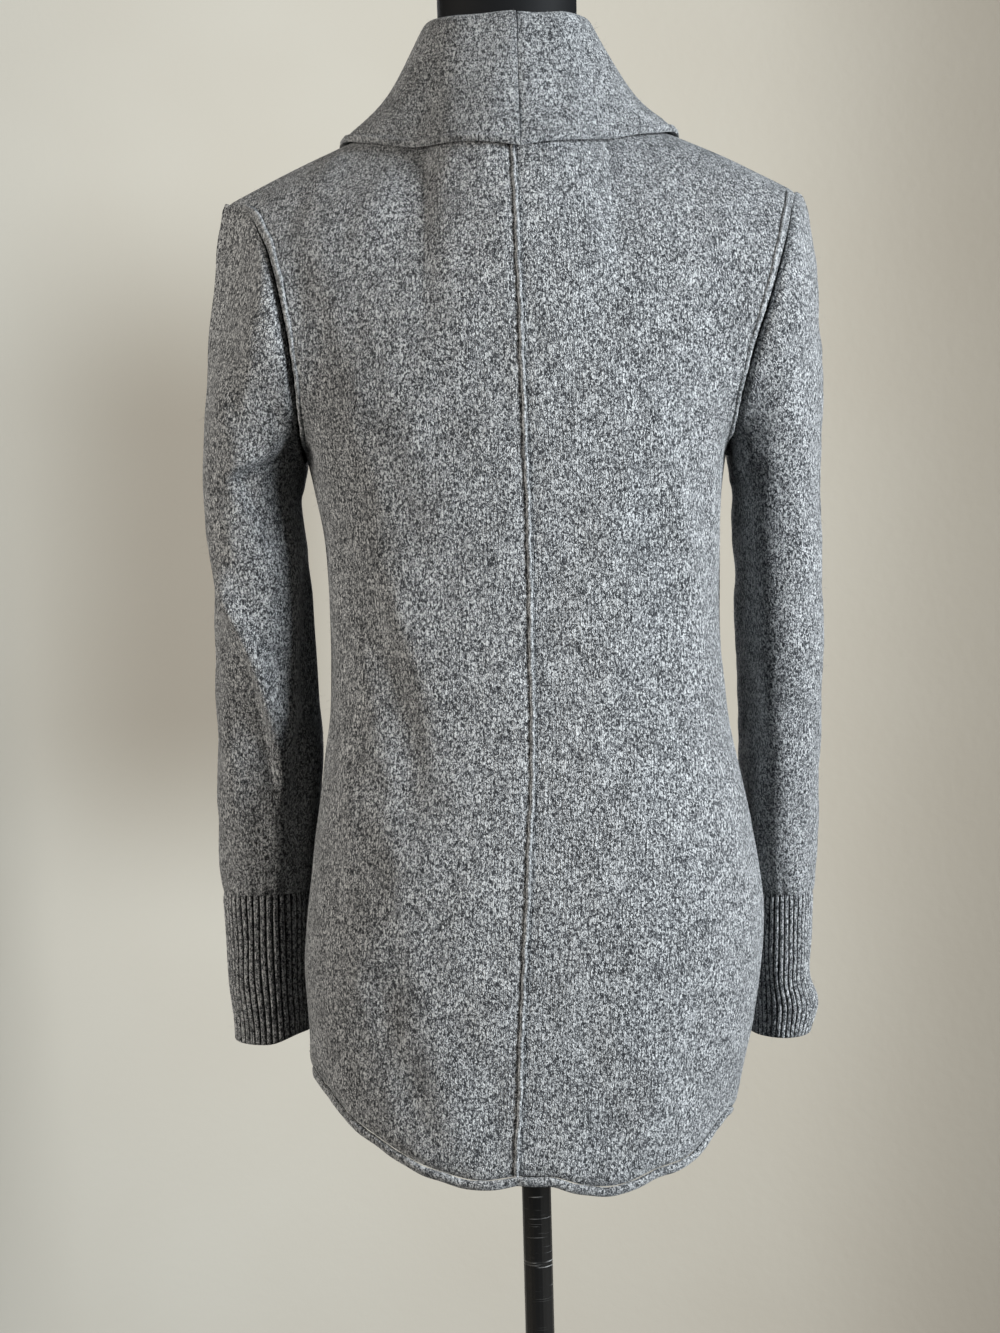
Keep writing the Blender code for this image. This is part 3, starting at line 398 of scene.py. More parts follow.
def hermite(t, start, leave, end, arrive):
    """Point at share t of a curve with given ends and directions there."""
    return ((2 * t**3 - 3 * t**2 + 1) * start + (t**3 - 2 * t**2 + t) * leave
            + (3 * t**2 - 2 * t**3) * end + (t**3 - t**2) * arrive)


def power(base, exponent):
    """Signed power, for superellipses."""
    return np.sign(base) * np.abs(base) ** exponent


def stack(x, y, z):
    """Points from three arrays, which may be of unlike shapes."""
    return np.stack(np.broadcast_arrays(x, y, z), axis=-1).astype(float)


def unit(vectors):
    """The vectors, each made one long."""
    return vectors / np.maximum(np.linalg.norm(vectors, axis=-1, keepdims=True), 1e-12)


def smoothstep(low, high, value):
    """0 at low, 1 at high, with soft ends."""
    t = np.clip((value - low) / (high - low), 0, 1)
    return t * t * (3 - 2 * t)


def line_across(distance, height, half_width):
    """Height of a soft ridge or groove at a distance from its middle."""
    return height * np.exp(-((distance / half_width) ** 2))


def left_or_right(side):
    """The side's column in the tables."""
    return "left" if side == LEFT else "right"


# ---------------------------------------------------------------- body surface
def ring(angle, height):
    """Cloth's outer point; 0 degrees is the left side seam, 90 centre back."""
    c, s = np.cos(np.radians(angle)), np.sin(np.radians(angle))
    half = np.where(c >= 0, read(BODY, "left", height), read(BODY, "right", height))
    deep = np.where(s >= 0, read(BODY, "back", height), read(BODY, "front", height))
    bend = np.where(s >= 0, 2 / BACK_ROUND, 2 / FRONT_ROUND)
    x, y = half * power(c, bend), deep * power(s, bend)
    x = x + np.where(s > 0, read(BODY, "stray", height) * (1 - (x / half) ** 2), 0)
    return stack(x, y, height)


def around(side, face, turn, height):
    """Ring point `turn` degrees from the side seam towards the back or front."""
    return ring(face * turn if side == LEFT else 180 - face * turn, height)


def edge_turn(side, height):
    """Degrees from the side seam to the front edge."""
    share = read(FRONT_EDGE, "out", height) / read(BODY, left_or_right(side), height)
    return np.degrees(np.arccos(share ** (FRONT_ROUND / 2)))


def hem_height(side, face, u):
    """Lower edge of a panel (the rolled band lies below it)."""
    low = 0.72
    turn = 90 if face == BACK else edge_turn(side, low)
    height = read(HEM, left_or_right(side), face * turn * (1 - u)) + BAND_HEIGHT + SEAM
    if face == FRONT:
        edge = around(side, face, turn, low)
        here = around(side, face, turn * (1 - u), low)
        reach = np.minimum(CORNER, np.linalg.norm(here - edge, axis=-1))
        height = height + CORNER - np.sqrt(np.maximum(0.0, CORNER**2 - (CORNER - reach) ** 2))
    return height


def lower(side, face, u, v):
    """Panel below the armpit: u from the middle (0) to the side seam (1)."""
    height = hem_height(side, face, u)
    height = height + (ARMPIT - height) * v
    turn = 90 if face == BACK else edge_turn(side, height)
    return around(side, face, turn * (1 - u), height)


def seam_point(side, share):
    """Shoulder seam from the neck (0) to the tip (1)."""
    tip = [float(read(ARMHOLE, name, 1.0)) for name in (left_or_right(side), "back", "height")]
    neck = np.array((NECK_HALF, 0.0, NECK_LOW + NECK_RISE))
    point = neck + (np.array(tip) - neck) * np.asarray(share)[..., None]
    point[..., 2] += SHOULDER_BOW * np.sin(np.pi * share)
    point[..., 0] *= side
    return point


def shoulder_top(side, u):
    """Back neckline, then the shoulder seam out to the tip."""
    turn = np.radians(90 * np.minimum(u / NECK_SHARE, 1))
    neckline = stack(side * NECK_HALF * np.sin(turn), NECK_DEEP * np.cos(turn),
                     NECK_LOW + NECK_RISE * (1 - np.cos(turn)))
    seam = seam_point(side, np.clip((u - NECK_SHARE) / (1 - NECK_SHARE), 0, 1))
    return np.where((u < NECK_SHARE)[..., None], neckline, seam)


def armhole(side, face, v):
    """Armhole edge from its bottom (0) to the shoulder tip (1)."""
    return stack(side * read(ARMHOLE, left_or_right(side), v),
                 read(ARMHOLE, "back" if face == BACK else "front", v),
                 read(ARMHOLE, "height", v))


def upper(side, face, u, v):
    """Panel above the armpit, blended between its four edges."""
    zero, one = np.zeros_like(u), np.ones_like(u)
    if face == BACK:
        middle = stack(read(BODY, "stray", ARMPIT) * (1 - v), read(CENTRE, "back_deep", v),
                       read(CENTRE, "back_height", v))
        full_turn = 90.0
        tops = [shoulder_top(side, t) for t in (zero, u, one)]
    else:
        middle = stack(side * read(CENTRE, "edge_out", v), read(CENTRE, "edge_deep", v),
                       read(CENTRE, "edge_height", v))
        full_turn = edge_turn(side, ARMPIT)
        tops = [seam_point(side, t) for t in (zero, u, one)]
    feet = [around(side, face, full_turn * (1 - t), ARMPIT) for t in (zero, u, one)]
    a, b = u[..., None], v[..., None]
    foot_bulge = feet[1] - (feet[0] + (feet[2] - feet[0]) * a)
    top_bulge = tops[1] - (tops[0] + (tops[2] - tops[0]) * a)
    edge = armhole(side, face, v)
    middle_deep = np.where(np.abs(middle[..., 1]) < 1e-6, 1e-6, middle[..., 1])
    share = np.minimum(1.0, np.abs(edge[..., 1] / middle_deep) ** 1.15)
    passed = np.where(v < 1, np.degrees(np.arcsin(share)), 90.0)[..., None]
    point = middle * (1 - a) + edge * a
    point = point + foot_bulge * (1 - passed / 90) ** 2 * (1 - b**2) + top_bulge * b**3
    point[..., 2] += 0.55 * u * (1 - u) * v**4 * (1 - v)
    return point


def panel(side, face, u, v):
    """Whole panel: v below 1 is under the armpit, 1 to 2 above it."""
    below = lower(side, face, u, np.clip(v, 0, 1))
    above = upper(side, face, u, np.clip(v - 1, 0, 1))
    return np.where((v <= 1)[..., None], below, above)


# ---------------------------------------------------------------- drape
def relax(points, weight, times, closed=False):
    """Evens out a grid of points where `weight` is not 0; its edges stay."""
    for _ in range(times):
        if closed:
            beside = (np.roll(points, 1, axis=1) + np.roll(points, -1, axis=1)) / 2
            move = np.zeros_like(points)
            move[1:-1] = (beside[1:-1] + (points[2:] + points[:-2]) / 2) / 2 - points[1:-1]
        else:
            move = np.zeros_like(points)
            move[1:-1, 1:-1] = (points[1:-1, 2:] + points[1:-1, :-2] + points[2:, 1:-1]
                                + points[:-2, 1:-1]) / 4 - points[1:-1, 1:-1]
        points = points + move * weight[..., None]
    return points


def grid_normals(points, outward, closed=False):
    """Unit normals of a grid; `outward` is +1 or -1 by its winding."""
    if closed:
        across = np.roll(points, -1, axis=1) - np.roll(points, 1, axis=1)
    else:
        across = np.gradient(points, axis=1)
    along = np.gradient(points, axis=0)
    return unit(np.cross(across, along)) * outward


def drawn_line(line, x, height, spacing=0.004):
    """Signed distance from a line drawn on the cloth, and the share of its length passed."""
    line = np.array(line, float)
    gone = np.concatenate([[0], np.cumsum(np.hypot(*np.diff(line, axis=0).T))])
    fine = np.linspace(0, gone[-1], max(6, int(gone[-1] / spacing)))
    knots = [smooth_curve(gone, line[:, i], fine) for i in (0, 1)]
    near = np.full(x.shape, 1e9)
    signed, share = np.zeros(x.shape), np.zeros(x.shape)
    for i in range(len(fine) - 1):
        ax, az = knots[0][i], knots[1][i]
        bx, bz = knots[0][i + 1] - ax, knots[1][i + 1] - az
        t = np.clip(((x - ax) * bx + (height - az) * bz) / (bx * bx + bz * bz), 0, 1)
        dx, dz = x - ax - t * bx, height - az - t * bz
        distance = np.hypot(dx, dz)
        nearer = distance < near
        near = np.where(nearer, distance, near)
        signed = np.where(nearer, np.sign(bx * dz - bz * dx) * distance, signed)
        share = np.where(nearer, (fine[i] + t * (fine[i + 1] - fine[i])) / gone[-1], share)
    return signed, share


def folds(rows, x, height):
    """How far soft troughs and ridges lift the cloth."""
    lift = np.zeros(x.shape)
    for line, width, depth in rows:
        distance, share = drawn_line(line, x, height)
        ends = smoothstep(0, 0.3, share) * smoothstep(0, 0.35, 1 - share)
        spread = width * (0.75 + 0.5 * share)
        lift += depth * ends * np.exp(-((distance / spread) ** 2))
    return lift


def laps(rows, x, height):
    """How far cloth that bulges over cloth is lifted and sunk along the lap."""
    lift = np.zeros(x.shape)
    for line, proud, proud_fade, sunk, sunk_fade in rows:
        distance, share = drawn_line(line, x, height)
        ends = smoothstep(0, 0.25, share) * smoothstep(0, 0.25, 1 - share)
        edge = np.abs(np.tanh(distance / 0.0030))
        above = proud * np.exp(-np.abs(distance) / proud_fade)
        below = -sunk * np.exp(-np.abs(distance) / sunk_fade)
        lift += ends * edge * np.where(distance > 0, above, below)
    return lift


def ripple(points, seed, size, amount):
    """Slow random unevenness of hand-washed cloth."""
    draw = np.random.default_rng(seed)
    lift = np.zeros(points.shape[:-1])
    for _ in range(9):
        direction = unit(draw.normal(size=3) * (1, 1, 0.6))
        wave = 2 * np.pi / (size * draw.uniform(0.6, 1.8))
        lift += np.sin(points @ direction * wave + draw.uniform(0, 2 * np.pi))
    return lift * amount / 3


# ---------------------------------------------------------------- making meshes
def link(piece, slot, *nodes):
    """Puts a piece in the scene, on the garment's one body."""
    if piece.name not in bpy.context.scene.collection.objects:
        bpy.context.scene.collection.objects.link(piece)
    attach(piece, "root")
    if nodes:
        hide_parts(*nodes)
    return piece


def closed_mesh(name, finish, points, faces, uv=None, sharp=60):
    """Mesh object of one closed body with its faces turned outwards."""
    mesh = bpy.data.meshes.new(name)
    mesh.from_pydata(points.tolist(), [], faces)
    if uv is not None:
        layer = mesh.uv_layers.new(name="knit")
        layer.data.foreach_set("uv", np.asarray(uv, np.float32).ravel())
    form = bmesh.new()
    form.from_mesh(mesh)
    bmesh.ops.recalc_face_normals(form, faces=form.faces)
    form.to_mesh(mesh)
    form.free()
    mesh.shade_smooth()
    mesh.set_sharp_from_angle(angle=math.radians(sharp))
    mesh.materials.append(finish)
    return bpy.data.objects.new(name, mesh)


def ring_grid(name, finish, rows, uv, closed, caps=None):
    """Body from rows of points that close on themselves; `closed` joins the columns too."""
    count, cols = rows.shape[:2]
    r, c = np.meshgrid(np.arange(count), np.arange(cols if closed else cols - 1), indexing="ij")
    r, c = r.ravel(), c.ravel()
    r2, c2 = (r + 1) % count, (c + 1) % cols
    faces = np.stack([r * cols + c, r * cols + c2, r2 * cols + c2, r2 * cols + c], axis=1)
    corner = [(r, c), (r, c + 1), (r2, c + 1), (r2, c)]
    loops = np.stack([uv[a, np.minimum(b, uv.shape[1] - 1)] for a, b in corner], axis=1)
    faces, loops = faces.tolist(), list(loops.reshape(-1, 2))
    for column, pairs in (caps or {}).items():
        for quad in pairs:
            faces.append([row * cols + column % cols for row in quad])
            loops += [uv[row, column] for row in quad]
    return closed_mesh(name, finish, rows.reshape(-1, 3), faces, np.array(loops))


def cloth_shell(name, finish, outer, normals, thick, uv, closed=False, inner=None):
    """Thin closed shell under a grid of outer points, its top and bottom edges rounded."""
    inner = outer - normals * thick if inner is None else inner
    top_away = unit(outer[-1] - outer[-2]) * thick / 2
    low_away = unit(outer[0] - outer[1]) * thick / 2
    top = (outer[-1] + inner[-1]) / 2 + top_away
    low = (outer[0] + inner[0]) / 2 + low_away
    rows = np.concatenate([outer, top[None], inner[::-1], low[None]])
    rows_uv = np.concatenate([uv, uv[-1:], uv[::-1], uv[:1]])
    count = len(outer)
    last = 2 * count + 1
    caps = None
    if not closed:
        strip = [(i, i + 1, last - 2 - i, last - 1 - i) for i in range(count - 1)]
        strip += [(count - 1, count, count + 1), (last, 0, last - 1)]
        caps = {0: strip, outer.shape[1] - 1: strip}
    return ring_grid(name, finish, rows, rows_uv, closed, caps)


def lengths_along(points, axis):
    """Distance gone along each line of a grid."""
    steps = np.linalg.norm(np.diff(points, axis=axis), axis=-1)
    zero = np.zeros_like(np.take(steps, [0], axis=axis))
    return np.concatenate([zero, np.cumsum(steps, axis=axis)], axis=axis)


def strip(name, finish, path, normals, profile, sway=0.0, puff=1.0, narrow=1.0):
    """Narrow closed piece along a path; `profile` is (sideways, out) pairs.

    Along the path it may sway sideways, and be more or less plump and narrow.
    """
    along = unit(np.gradient(path, axis=0))
    along[:4], along[-4:] = along[4], along[-5]
    sideways = unit(np.cross(normals, along))
    profile = np.array(profile, float)
    sway, puff, narrow = (one * np.ones(len(path)) for one in (sway, puff, narrow))
    across = profile[:, 0][None] * narrow[:, None] + sway[:, None]
    out = profile[:, 1][None] * puff[:, None]
    sections = (path[:, None] + sideways[:, None] * across[..., None]
                + normals[:, None] * out[..., None])
    count = len(profile)
    rows = sections.transpose(1, 0, 2)
    gone = lengths_along(path[None], 1)[0]
    girth = np.concatenate([[0], np.cumsum(np.linalg.norm(np.diff(profile, axis=0), axis=1))])
    uv = np.stack(np.broadcast_arrays(girth[:, None], gone[None]), axis=-1)
    caps = {0: [tuple(range(count))], len(path) - 1: [tuple(range(count))]}
    return ring_grid(name, finish, rows, uv, False, caps)


# ---------------------------------------------------------------- panels
# A draped panel: its outer points and normals, its knit's lengths across and up, and its own grid.
LaidPanel = namedtuple("LaidPanel", "points normals across up u v")


def laid_panel(side, face):
    """Draped panel with its folds and its sunk seams."""
    u = np.linspace(HALF_GAP, 1 - HALF_GAP, PANEL_COLUMNS[face])
    low = np.linspace(0, 1, ROWS_BELOW_ARMPIT)
    high = np.linspace(1, 2 - SHOULDER_GAP, ROWS_ABOVE_ARMPIT)[1:]
    v = np.concatenate([low, high])
    vv, uu = np.meshgrid(v, u, indexing="ij")
    points = panel(side, face, uu, vv)
    outward = -side * face
    near_armpit = line_across(points[..., 2] - ARMPIT, 0.9, 0.030)
    points = relax(points, near_armpit * smoothstep(0, 0.06, 1 - uu) * smoothstep(0, 0.06, uu), 120)
    x, height = points[..., 0], points[..., 2]
    lift = folds(BACK_FOLDS if face == BACK else FRONT_FOLDS, x, height)
    lift += ripple(points, 5 + side + 3 * face, 0.060, 0.0008)
    lift += ripple(points, 15 + side + 3 * face, 0.024, 0.00025)
    edges = smoothstep(0, 0.10, 1 - uu) * smoothstep(0, 0.05, uu) * smoothstep(0, 0.05, 2 - vv)
    lift *= edges
    across, up = lengths_along(points, 1), lengths_along(points, 0)
    sunk_seam = line_across(across[:, -1:] - across, *SIDE_SEAM)
    if face == BACK:
        sunk_seam += line_across(across, *CENTRE_SEAM)
    sunk_seam += line_across(up[-1:] - up, *TOP_SEAM) + line_across(up, *HEM_GROOVE)
    normals = grid_normals(points, outward)
    points = points + normals * (lift - sunk_seam)[..., None]
    if face == BACK:
        points = points + normals * shoulder_ridge(side, points)[..., None]
    return LaidPanel(points, grid_normals(points, outward), side * across, up, u, v)


def shoulder_ridge(side, points):
    """Soft ridge of the shoulder seam's allowance, just below the collar."""
    distance, share = drawn_line(SHOULDER_RIDGES[side], points[..., 0], points[..., 2])
    ends = smoothstep(0, 0.05, share) * smoothstep(0, 0.5, 1 - share)
    ridge = line_across(distance, 0.0011, 0.0016)
    groove = line_across(distance + 0.0030, 0.00088, 0.0014)
    return ends * (ridge - groove)


def make_panel(name, finish, laid):
    """One panel of the back or the fronts."""
    uv = np.stack([laid.across, laid.up], axis=-1)
    piece = cloth_shell("knit_" + name, finish, laid.points, laid.normals, CLOTH, uv)
    return link(piece, "wool", name)


# ---------------------------------------------------------------- sleeves and cuffs
def oval(table, side, turn, height):
    """Point of a sleeve or cuff section; 0 degrees is outermost, 90 at the back."""
    a = np.radians(turn)
    return stack(side * (read(table, "out", height) + read(table, "wide", height) * np.cos(a)),
                 read(table, "deep", height) + read(table, "thick", height) * np.sin(a), height)


def cap(side, turn, t):
    """Sleeve head from the armhole (t 0) to the first section of the tube (t 1)."""
    start = np.where((turn <= 180)[..., None], armhole(side, BACK, np.abs(180 - turn) / 180),
                     armhole(side, FRONT, np.abs(180 - turn) / 180))
    start = start + np.array((side * 2 * SEAM, 0, 0))
    table = SLEEVE_LEFT if side == LEFT else SLEEVE_RIGHT
    end = oval(table, side, turn, np.full(turn.shape, table[1][0][0]))
    reach = np.linalg.norm(end - start, axis=-1)[..., None]
    swing = np.sin(np.radians(turn))
    spring = 0.03 if side == LEFT else 0.25
    leave = reach * stack(side * (spring + (0.54 - spring) * swing**2), 0.22 * swing, -0.16)
    arrive = reach * np.array((0, 0, -0.95))
    return hermite(t[..., None], start, leave, end, arrive)


def laid_sleeve(side):
    """Draped outer surface of a sleeve, from the armhole down to the cuff."""
    table = SLEEVE_LEFT if side == LEFT else SLEEVE_RIGHT
    turns = np.linspace(0, 360, SLEEVE_COLUMNS, endpoint=False)
    along = np.concatenate([np.linspace(0, 1, CAP_ROWS), np.linspace(1, 2, TUBE_ROWS)[1:]])
    aa, tt = np.meshgrid(along, turns, indexing="ij")
    top, low = table[1][0][0], table[1][-1][0]
    height = top + (low - top) * np.clip(aa - 1, 0, 1)
    points = np.where((aa <= 1)[..., None], cap(side, tt, np.clip(aa, 0, 1)),
                      oval(table, side, tt, height))
    points = relax(points, line_across(aa - 1, 0.9, 0.16), 90, closed=True)
    normals = grid_normals(points, -side, closed=True)
    x, height = points[..., 0], points[..., 2]
    behind = smoothstep(-0.12, 0.20, normals[..., 1])
    before = smoothstep(-0.12, 0.20, -normals[..., 1])
    lift = folds(SLEEVE_FOLDS[side, BACK], x, height) * behind
    lift += folds(SLEEVE_FOLDS[side, FRONT], x, height) * before
    lift += laps(SLEEVE_LAPS.get((side, BACK), ()), x, height) * behind
    lift += ripple(points, 31 + side, 0.050, 0.0009) + ripple(points, 41 + side, 0.022, 0.0003)
    down = lengths_along(points, 0)
    to_cuff = down[-1:] - down
    lift *= smoothstep(0, 0.02, down) * (0.25 + 0.75 * smoothstep(0, 0.012, to_cuff))
    gathers = 0.0006 * np.sin(np.radians(tt) * RIBS / 2) - 0.0014
    lift += line_across(to_cuff, gathers, 0.011)
    lift -= line_across(down, *SLEEVE_SEAM) + line_across(to_cuff, *CUFF_SEAM)
    points = points + normals * lift[..., None]
    return points, grid_normals(points, -side, closed=True), tt, down


def make_sleeve(name, finish, laid):
    """One sleeve; its columns of stitches run down from the shoulder."""
    points, normals, turns, down = laid
    share = np.concatenate([turns, turns[:, :1] + 360], axis=1) / 360
    mean_down = down.mean(axis=1, keepdims=True) * np.ones_like(share)
    uv = np.stack([share * SLEEVE_GIRTH, -mean_down], axis=-1)
    piece = cloth_shell("knit_" + name, finish, points, normals, CLOTH, uv, closed=True)
    return link(piece, "wool", name)


def laid_cuff(side):
    """Ribbed cuff: broad ribs with narrow furrows between them."""
    table = CUFF_LEFT if side == LEFT else CUFF_RIGHT
    turns = np.linspace(0, 360, RIBS * POINTS_A_RIB, endpoint=False)
    top, low = table[1][0][0], table[1][-1][0]
    along = np.linspace(0, 1, CUFF_ROWS)
    aa, tt = np.meshgrid(along, turns, indexing="ij")
    sway = 0.9 * np.sin(aa * 5.1 + np.radians(tt) * 2) * aa + 0.5 * np.sin(aa * 9 + np.radians(tt) * 5)
    points = oval(table, side, tt + sway, top + (low - top) * aa)
    if side == LEFT:    # the inner half of its mouth hangs higher
        points[..., 2] += 0.0060 * aa**3 * smoothstep(0.187, 0.160, points[..., 0])
    normals = grid_normals(points, -side, closed=True)
    phase = np.abs(np.sin(np.radians(tt) * RIBS / 2))
    rib = 1 - (1 - phase) ** 2.2
    depth = RIB_DEPTH * (0.9 + 0.2 * np.sin(np.radians(tt) * 7 + aa * 3))
    lift = depth * (rib - 0.75) + ripple(points, 51 + side, 0.030, 0.0006) * aa
    lift -= line_across(aa, 0.0009, 0.03)
    lift += 0.0010 * smoothstep(0.90, 1.0, aa) * (1 - rib)
    points = points + normals * lift[..., None]
    inner = oval(table, side, tt, top + (low - top) * aa)
    inner[..., 2] = points[..., 2]
    centre = inner.mean(axis=1, keepdims=True)
    flat_normals = unit((inner - centre) * (1, 1, 0))
    inner = inner - flat_normals * (CLOTH + 0.0004)
    return points, normals, inner, tt, aa * (top - low)


def make_cuff(name, finish, side):
    """One cuff, and its surface for the nap."""
    points, normals, inner, turns, down = laid_cuff(side)
    share = np.concatenate([turns, turns[:, :1] + 360], axis=1) / 360
    down = np.concatenate([down, down[:, :1]], axis=1)
    uv = np.stack([share * RIBS, -down], axis=-1)
    piece = cloth_shell("knit_" + name, finish, points, normals, CLOTH, uv, closed=True, inner=inner)
    return link(piece, "rib", name), (points, normals)


# ---------------------------------------------------------------- collar
def collar_seam(side, along):
    """Edge that the collar is sewn to, and the direction away from the panel."""
    if along <= 1:
        face, u, v = BACK, NECK_SHARE * along, 2.0
        beside = (u, v - 0.02)
    else:
        face, u = FRONT, 0.0
        v = 3 - along if along <= 2 else 1 - (1 - LAPEL_SHARE) * (along - 2)
        beside = (u + 0.02, v)
    point, other = panel(side, face, np.array((u, beside[0])), np.array((v, beside[1])))
    return point, unit(point - other)


def body_tree(laid):
    """The draped panels as one tree, for laying the collar on them."""
    points, faces = [], []
    for (side, face), laid_one in laid.items():
        grid = laid_one.points[FIRST_ROW_UNDER_COLLAR:]
        rows, cols = grid.shape[:2]
        base = len(points)
        points += [Vector(p) for p in grid.reshape(-1, 3)]
        for r in range(rows - 1):
            for c in range(cols - 1):
                a = base + r * cols + c
                quad = (a, a + 1, a + 1 + cols, a + cols)
                faces.append(quad if side * face < 0 else quad[::-1])
    return BVHTree.FromPolygons(points, faces)


def lay_on(tree, point, clearance, touch=False):
    """The point, moved out until it is `clearance` off the panels; with `touch`, no farther."""
    spot, normal, _, _ = tree.find_nearest(Vector(point))
    height = float(np.dot(point - np.array(spot), np.array(normal)))
    if height >= clearance and not touch:
        return point
    return point + np.array(normal) * (clearance - height)


def collar_line(side, along, tree):
    """Middle of the double cloth at one place: stand, roll and fall."""
    seam, away = collar_seam(side, along)
    clearance = COLLAR_CLOTH / 2 + 0.0007
    roll, edge = (np.array([float(read(COLLAR, which + axis, along))
                            for axis in ("_out", "_deep", "_height")]) for which in ("roll", "edge"))
    stray = COLLAR_STRAY * (1 - smoothstep(0, 0.6, along))
    roll[0] = roll[0] * side + stray
    edge[0] = edge[0] * side + stray
    edge[2] -= side * 0.0013 * smoothstep(0.3, 0.8, along) * (1 - smoothstep(1.0, 1.5, along))
    edge = lay_on(tree, edge, clearance + EDGE_GAP, touch=True)
    rise = float(np.dot(roll - seam, away)) / float(np.linalg.norm(roll - seam))
    start = seam + away * (3 * SEAM + COLLAR_CLOTH / 2 * math.sqrt(max(0.0, 1 - rise**2)))
    up = unit(roll - start)
    out = unit((edge - roll) - up * np.dot(edge - roll, up))
    line = [start + (roll - start) * t + away * 0.002 * math.sin(math.pi * t)
            for t in np.linspace(0, 1, STAND_ROWS)]
    for turn in range(20, 181, 20):
        a = math.radians(turn)
        line.append(roll + ROLL * (out * (1 - math.cos(a)) + up * math.sin(a)))
    fall = line[-1]
    reach = float(np.linalg.norm(edge - fall))
    bell = BELL * math.exp(-(((along - 0.95) / 0.55) ** 2)) + 0.04
    knee = fall - up * 0.50 * reach + out * bell * reach
    for t in np.linspace(0, 1, FALL_ROWS)[1:]:
        line.append((1 - t) ** 2 * fall + 2 * t * (1 - t) * knee + t**2 * edge)
    line = np.array([p if i < STAND_ROWS else lay_on(tree, p, clearance) for i, p in enumerate(line)])
    if along == 0:
        line[:, 0] = collar_middle(side, len(line))
    return line


def collar_middle(side, count):
    """Where the two halves of the collar meet, from the neckline to the outer edge."""
    return side * 0.5 * SEAM + COLLAR_STRAY * smoothstep(0, 12, np.arange(count))


def laid_collar(side, tree):
    """One half of the collar: its outer and inner surfaces, normals and knit lengths."""
    stations = np.concatenate([np.linspace(0, 1.3, 84), np.linspace(1.3, 2.98, 76)[1:]])
    middle = np.stack([collar_line(side, along, tree) for along in stations], axis=1)
    for _ in range(40):
        middle[-1, 1:-1] = middle[-1, 1:-1] / 2 + (middle[-1, :-2] + middle[-1, 2:]) / 4
    weight = np.full(middle.shape[:2], 0.8)
    weight[:2] = 0
    middle = relax(middle, weight, 14)
    for r in range(20, len(middle)):
        for c in range(len(stations)):
            middle[r, c] = lay_on(tree, middle[r, c], COLLAR_CLOTH / 2 + 0.0006)
    middle[:, 0, 0] = collar_middle(side, len(middle))
    normals = grid_normals(middle, 1)
    if normals[40, 5, 1] < 0:
        normals = -normals
    gone = lengths_along(middle, 0)
    to_edge = gone[-1:] - gone
    off_centre = lengths_along(middle, 1)
    lift = ripple(middle, 61 + side, 0.045, 0.0006) * smoothstep(0, 0.02, to_edge)
    lift += line_across(to_edge - 0.0018, *COLLAR_LIP)
    lift -= line_across(to_edge - 0.0050, *COLLAR_GROOVE)
    if side == RIGHT:
        lift -= line_across(to_edge - 0.0082, *COLLAR_SECOND_GROOVE)
    lift -= line_across(off_centre, *COLLAR_MIDDLE_SEAM)
    outer = middle + normals * (COLLAR_CLOTH / 2 + lift)[..., None]
    inner = middle - normals * COLLAR_CLOTH / 2
    uv = np.stack([gone, off_centre], axis=-1)
    return outer, inner, normals, uv


def make_collar(name, finish, side, tree):
    """One half of the collar, and its surface for the nap."""
    outer, inner, normals, uv = laid_collar(side, tree)
    piece = cloth_shell("knit_" + name, finish, outer, normals, COLLAR_CLOTH, uv, inner=inner)
    return link(piece, "wool", name), outer, normals


# ---------------------------------------------------------------- bands and seams
def rolled_profile(outward):
    """Rounded section of the rolled edge; it hangs away from the panel."""
    turns = np.radians(np.arange(0, 360, 22.5) + 11.25)
    side_way = SEAM + BAND_HEIGHT / 2 * (1 + power(np.cos(turns), 0.8))
    out = BAND_THICK * (0.52 * power(np.sin(turns), 0.8) - 0.22)
    return list(zip(outward * side_way, out))


def seam_profile(width, height, edges):
    """Arched section of a raised seam, with the height of its edges."""
    turns = np.radians(np.linspace(0, 180, 9))
    return [(-width / 2 * math.cos(t), edges + (height - edges) * math.sin(t) ** 0.8) for t in turns]


def finer(path, normals, spacing):
    """The same path with points `spacing` apart."""
    gone = np.concatenate([[0], np.cumsum(np.linalg.norm(np.diff(path, axis=0), axis=1))])
    where = np.linspace(0, gone[-1], int(gone[-1] / spacing))
    path = np.stack([np.interp(where, gone, path[:, i]) for i in range(3)], axis=1)
    normals = unit(np.stack([np.interp(where, gone, normals[:, i]) for i in range(3)], axis=1))
    return path, normals, where


def bulges(where, seed, pitch, amount):
    """Uneven plumpness along a seam or a rolled edge."""
    draw = np.random.default_rng(seed)
    total = np.ones(len(where))
    for share in (1.0, 0.37, 2.9):
        total += amount * share**0.3 * np.sin(2 * np.pi * where / (pitch * share) + draw.uniform(0, 6.3))
    return total


def dying_ends(where, reach=0.010):
    """1 along a seam or band, sinking to nearly 0 within `reach` of both ends."""
    return 0.12 + 0.88 * smoothstep(0, reach, where) * smoothstep(0, reach, where[-1] - where)


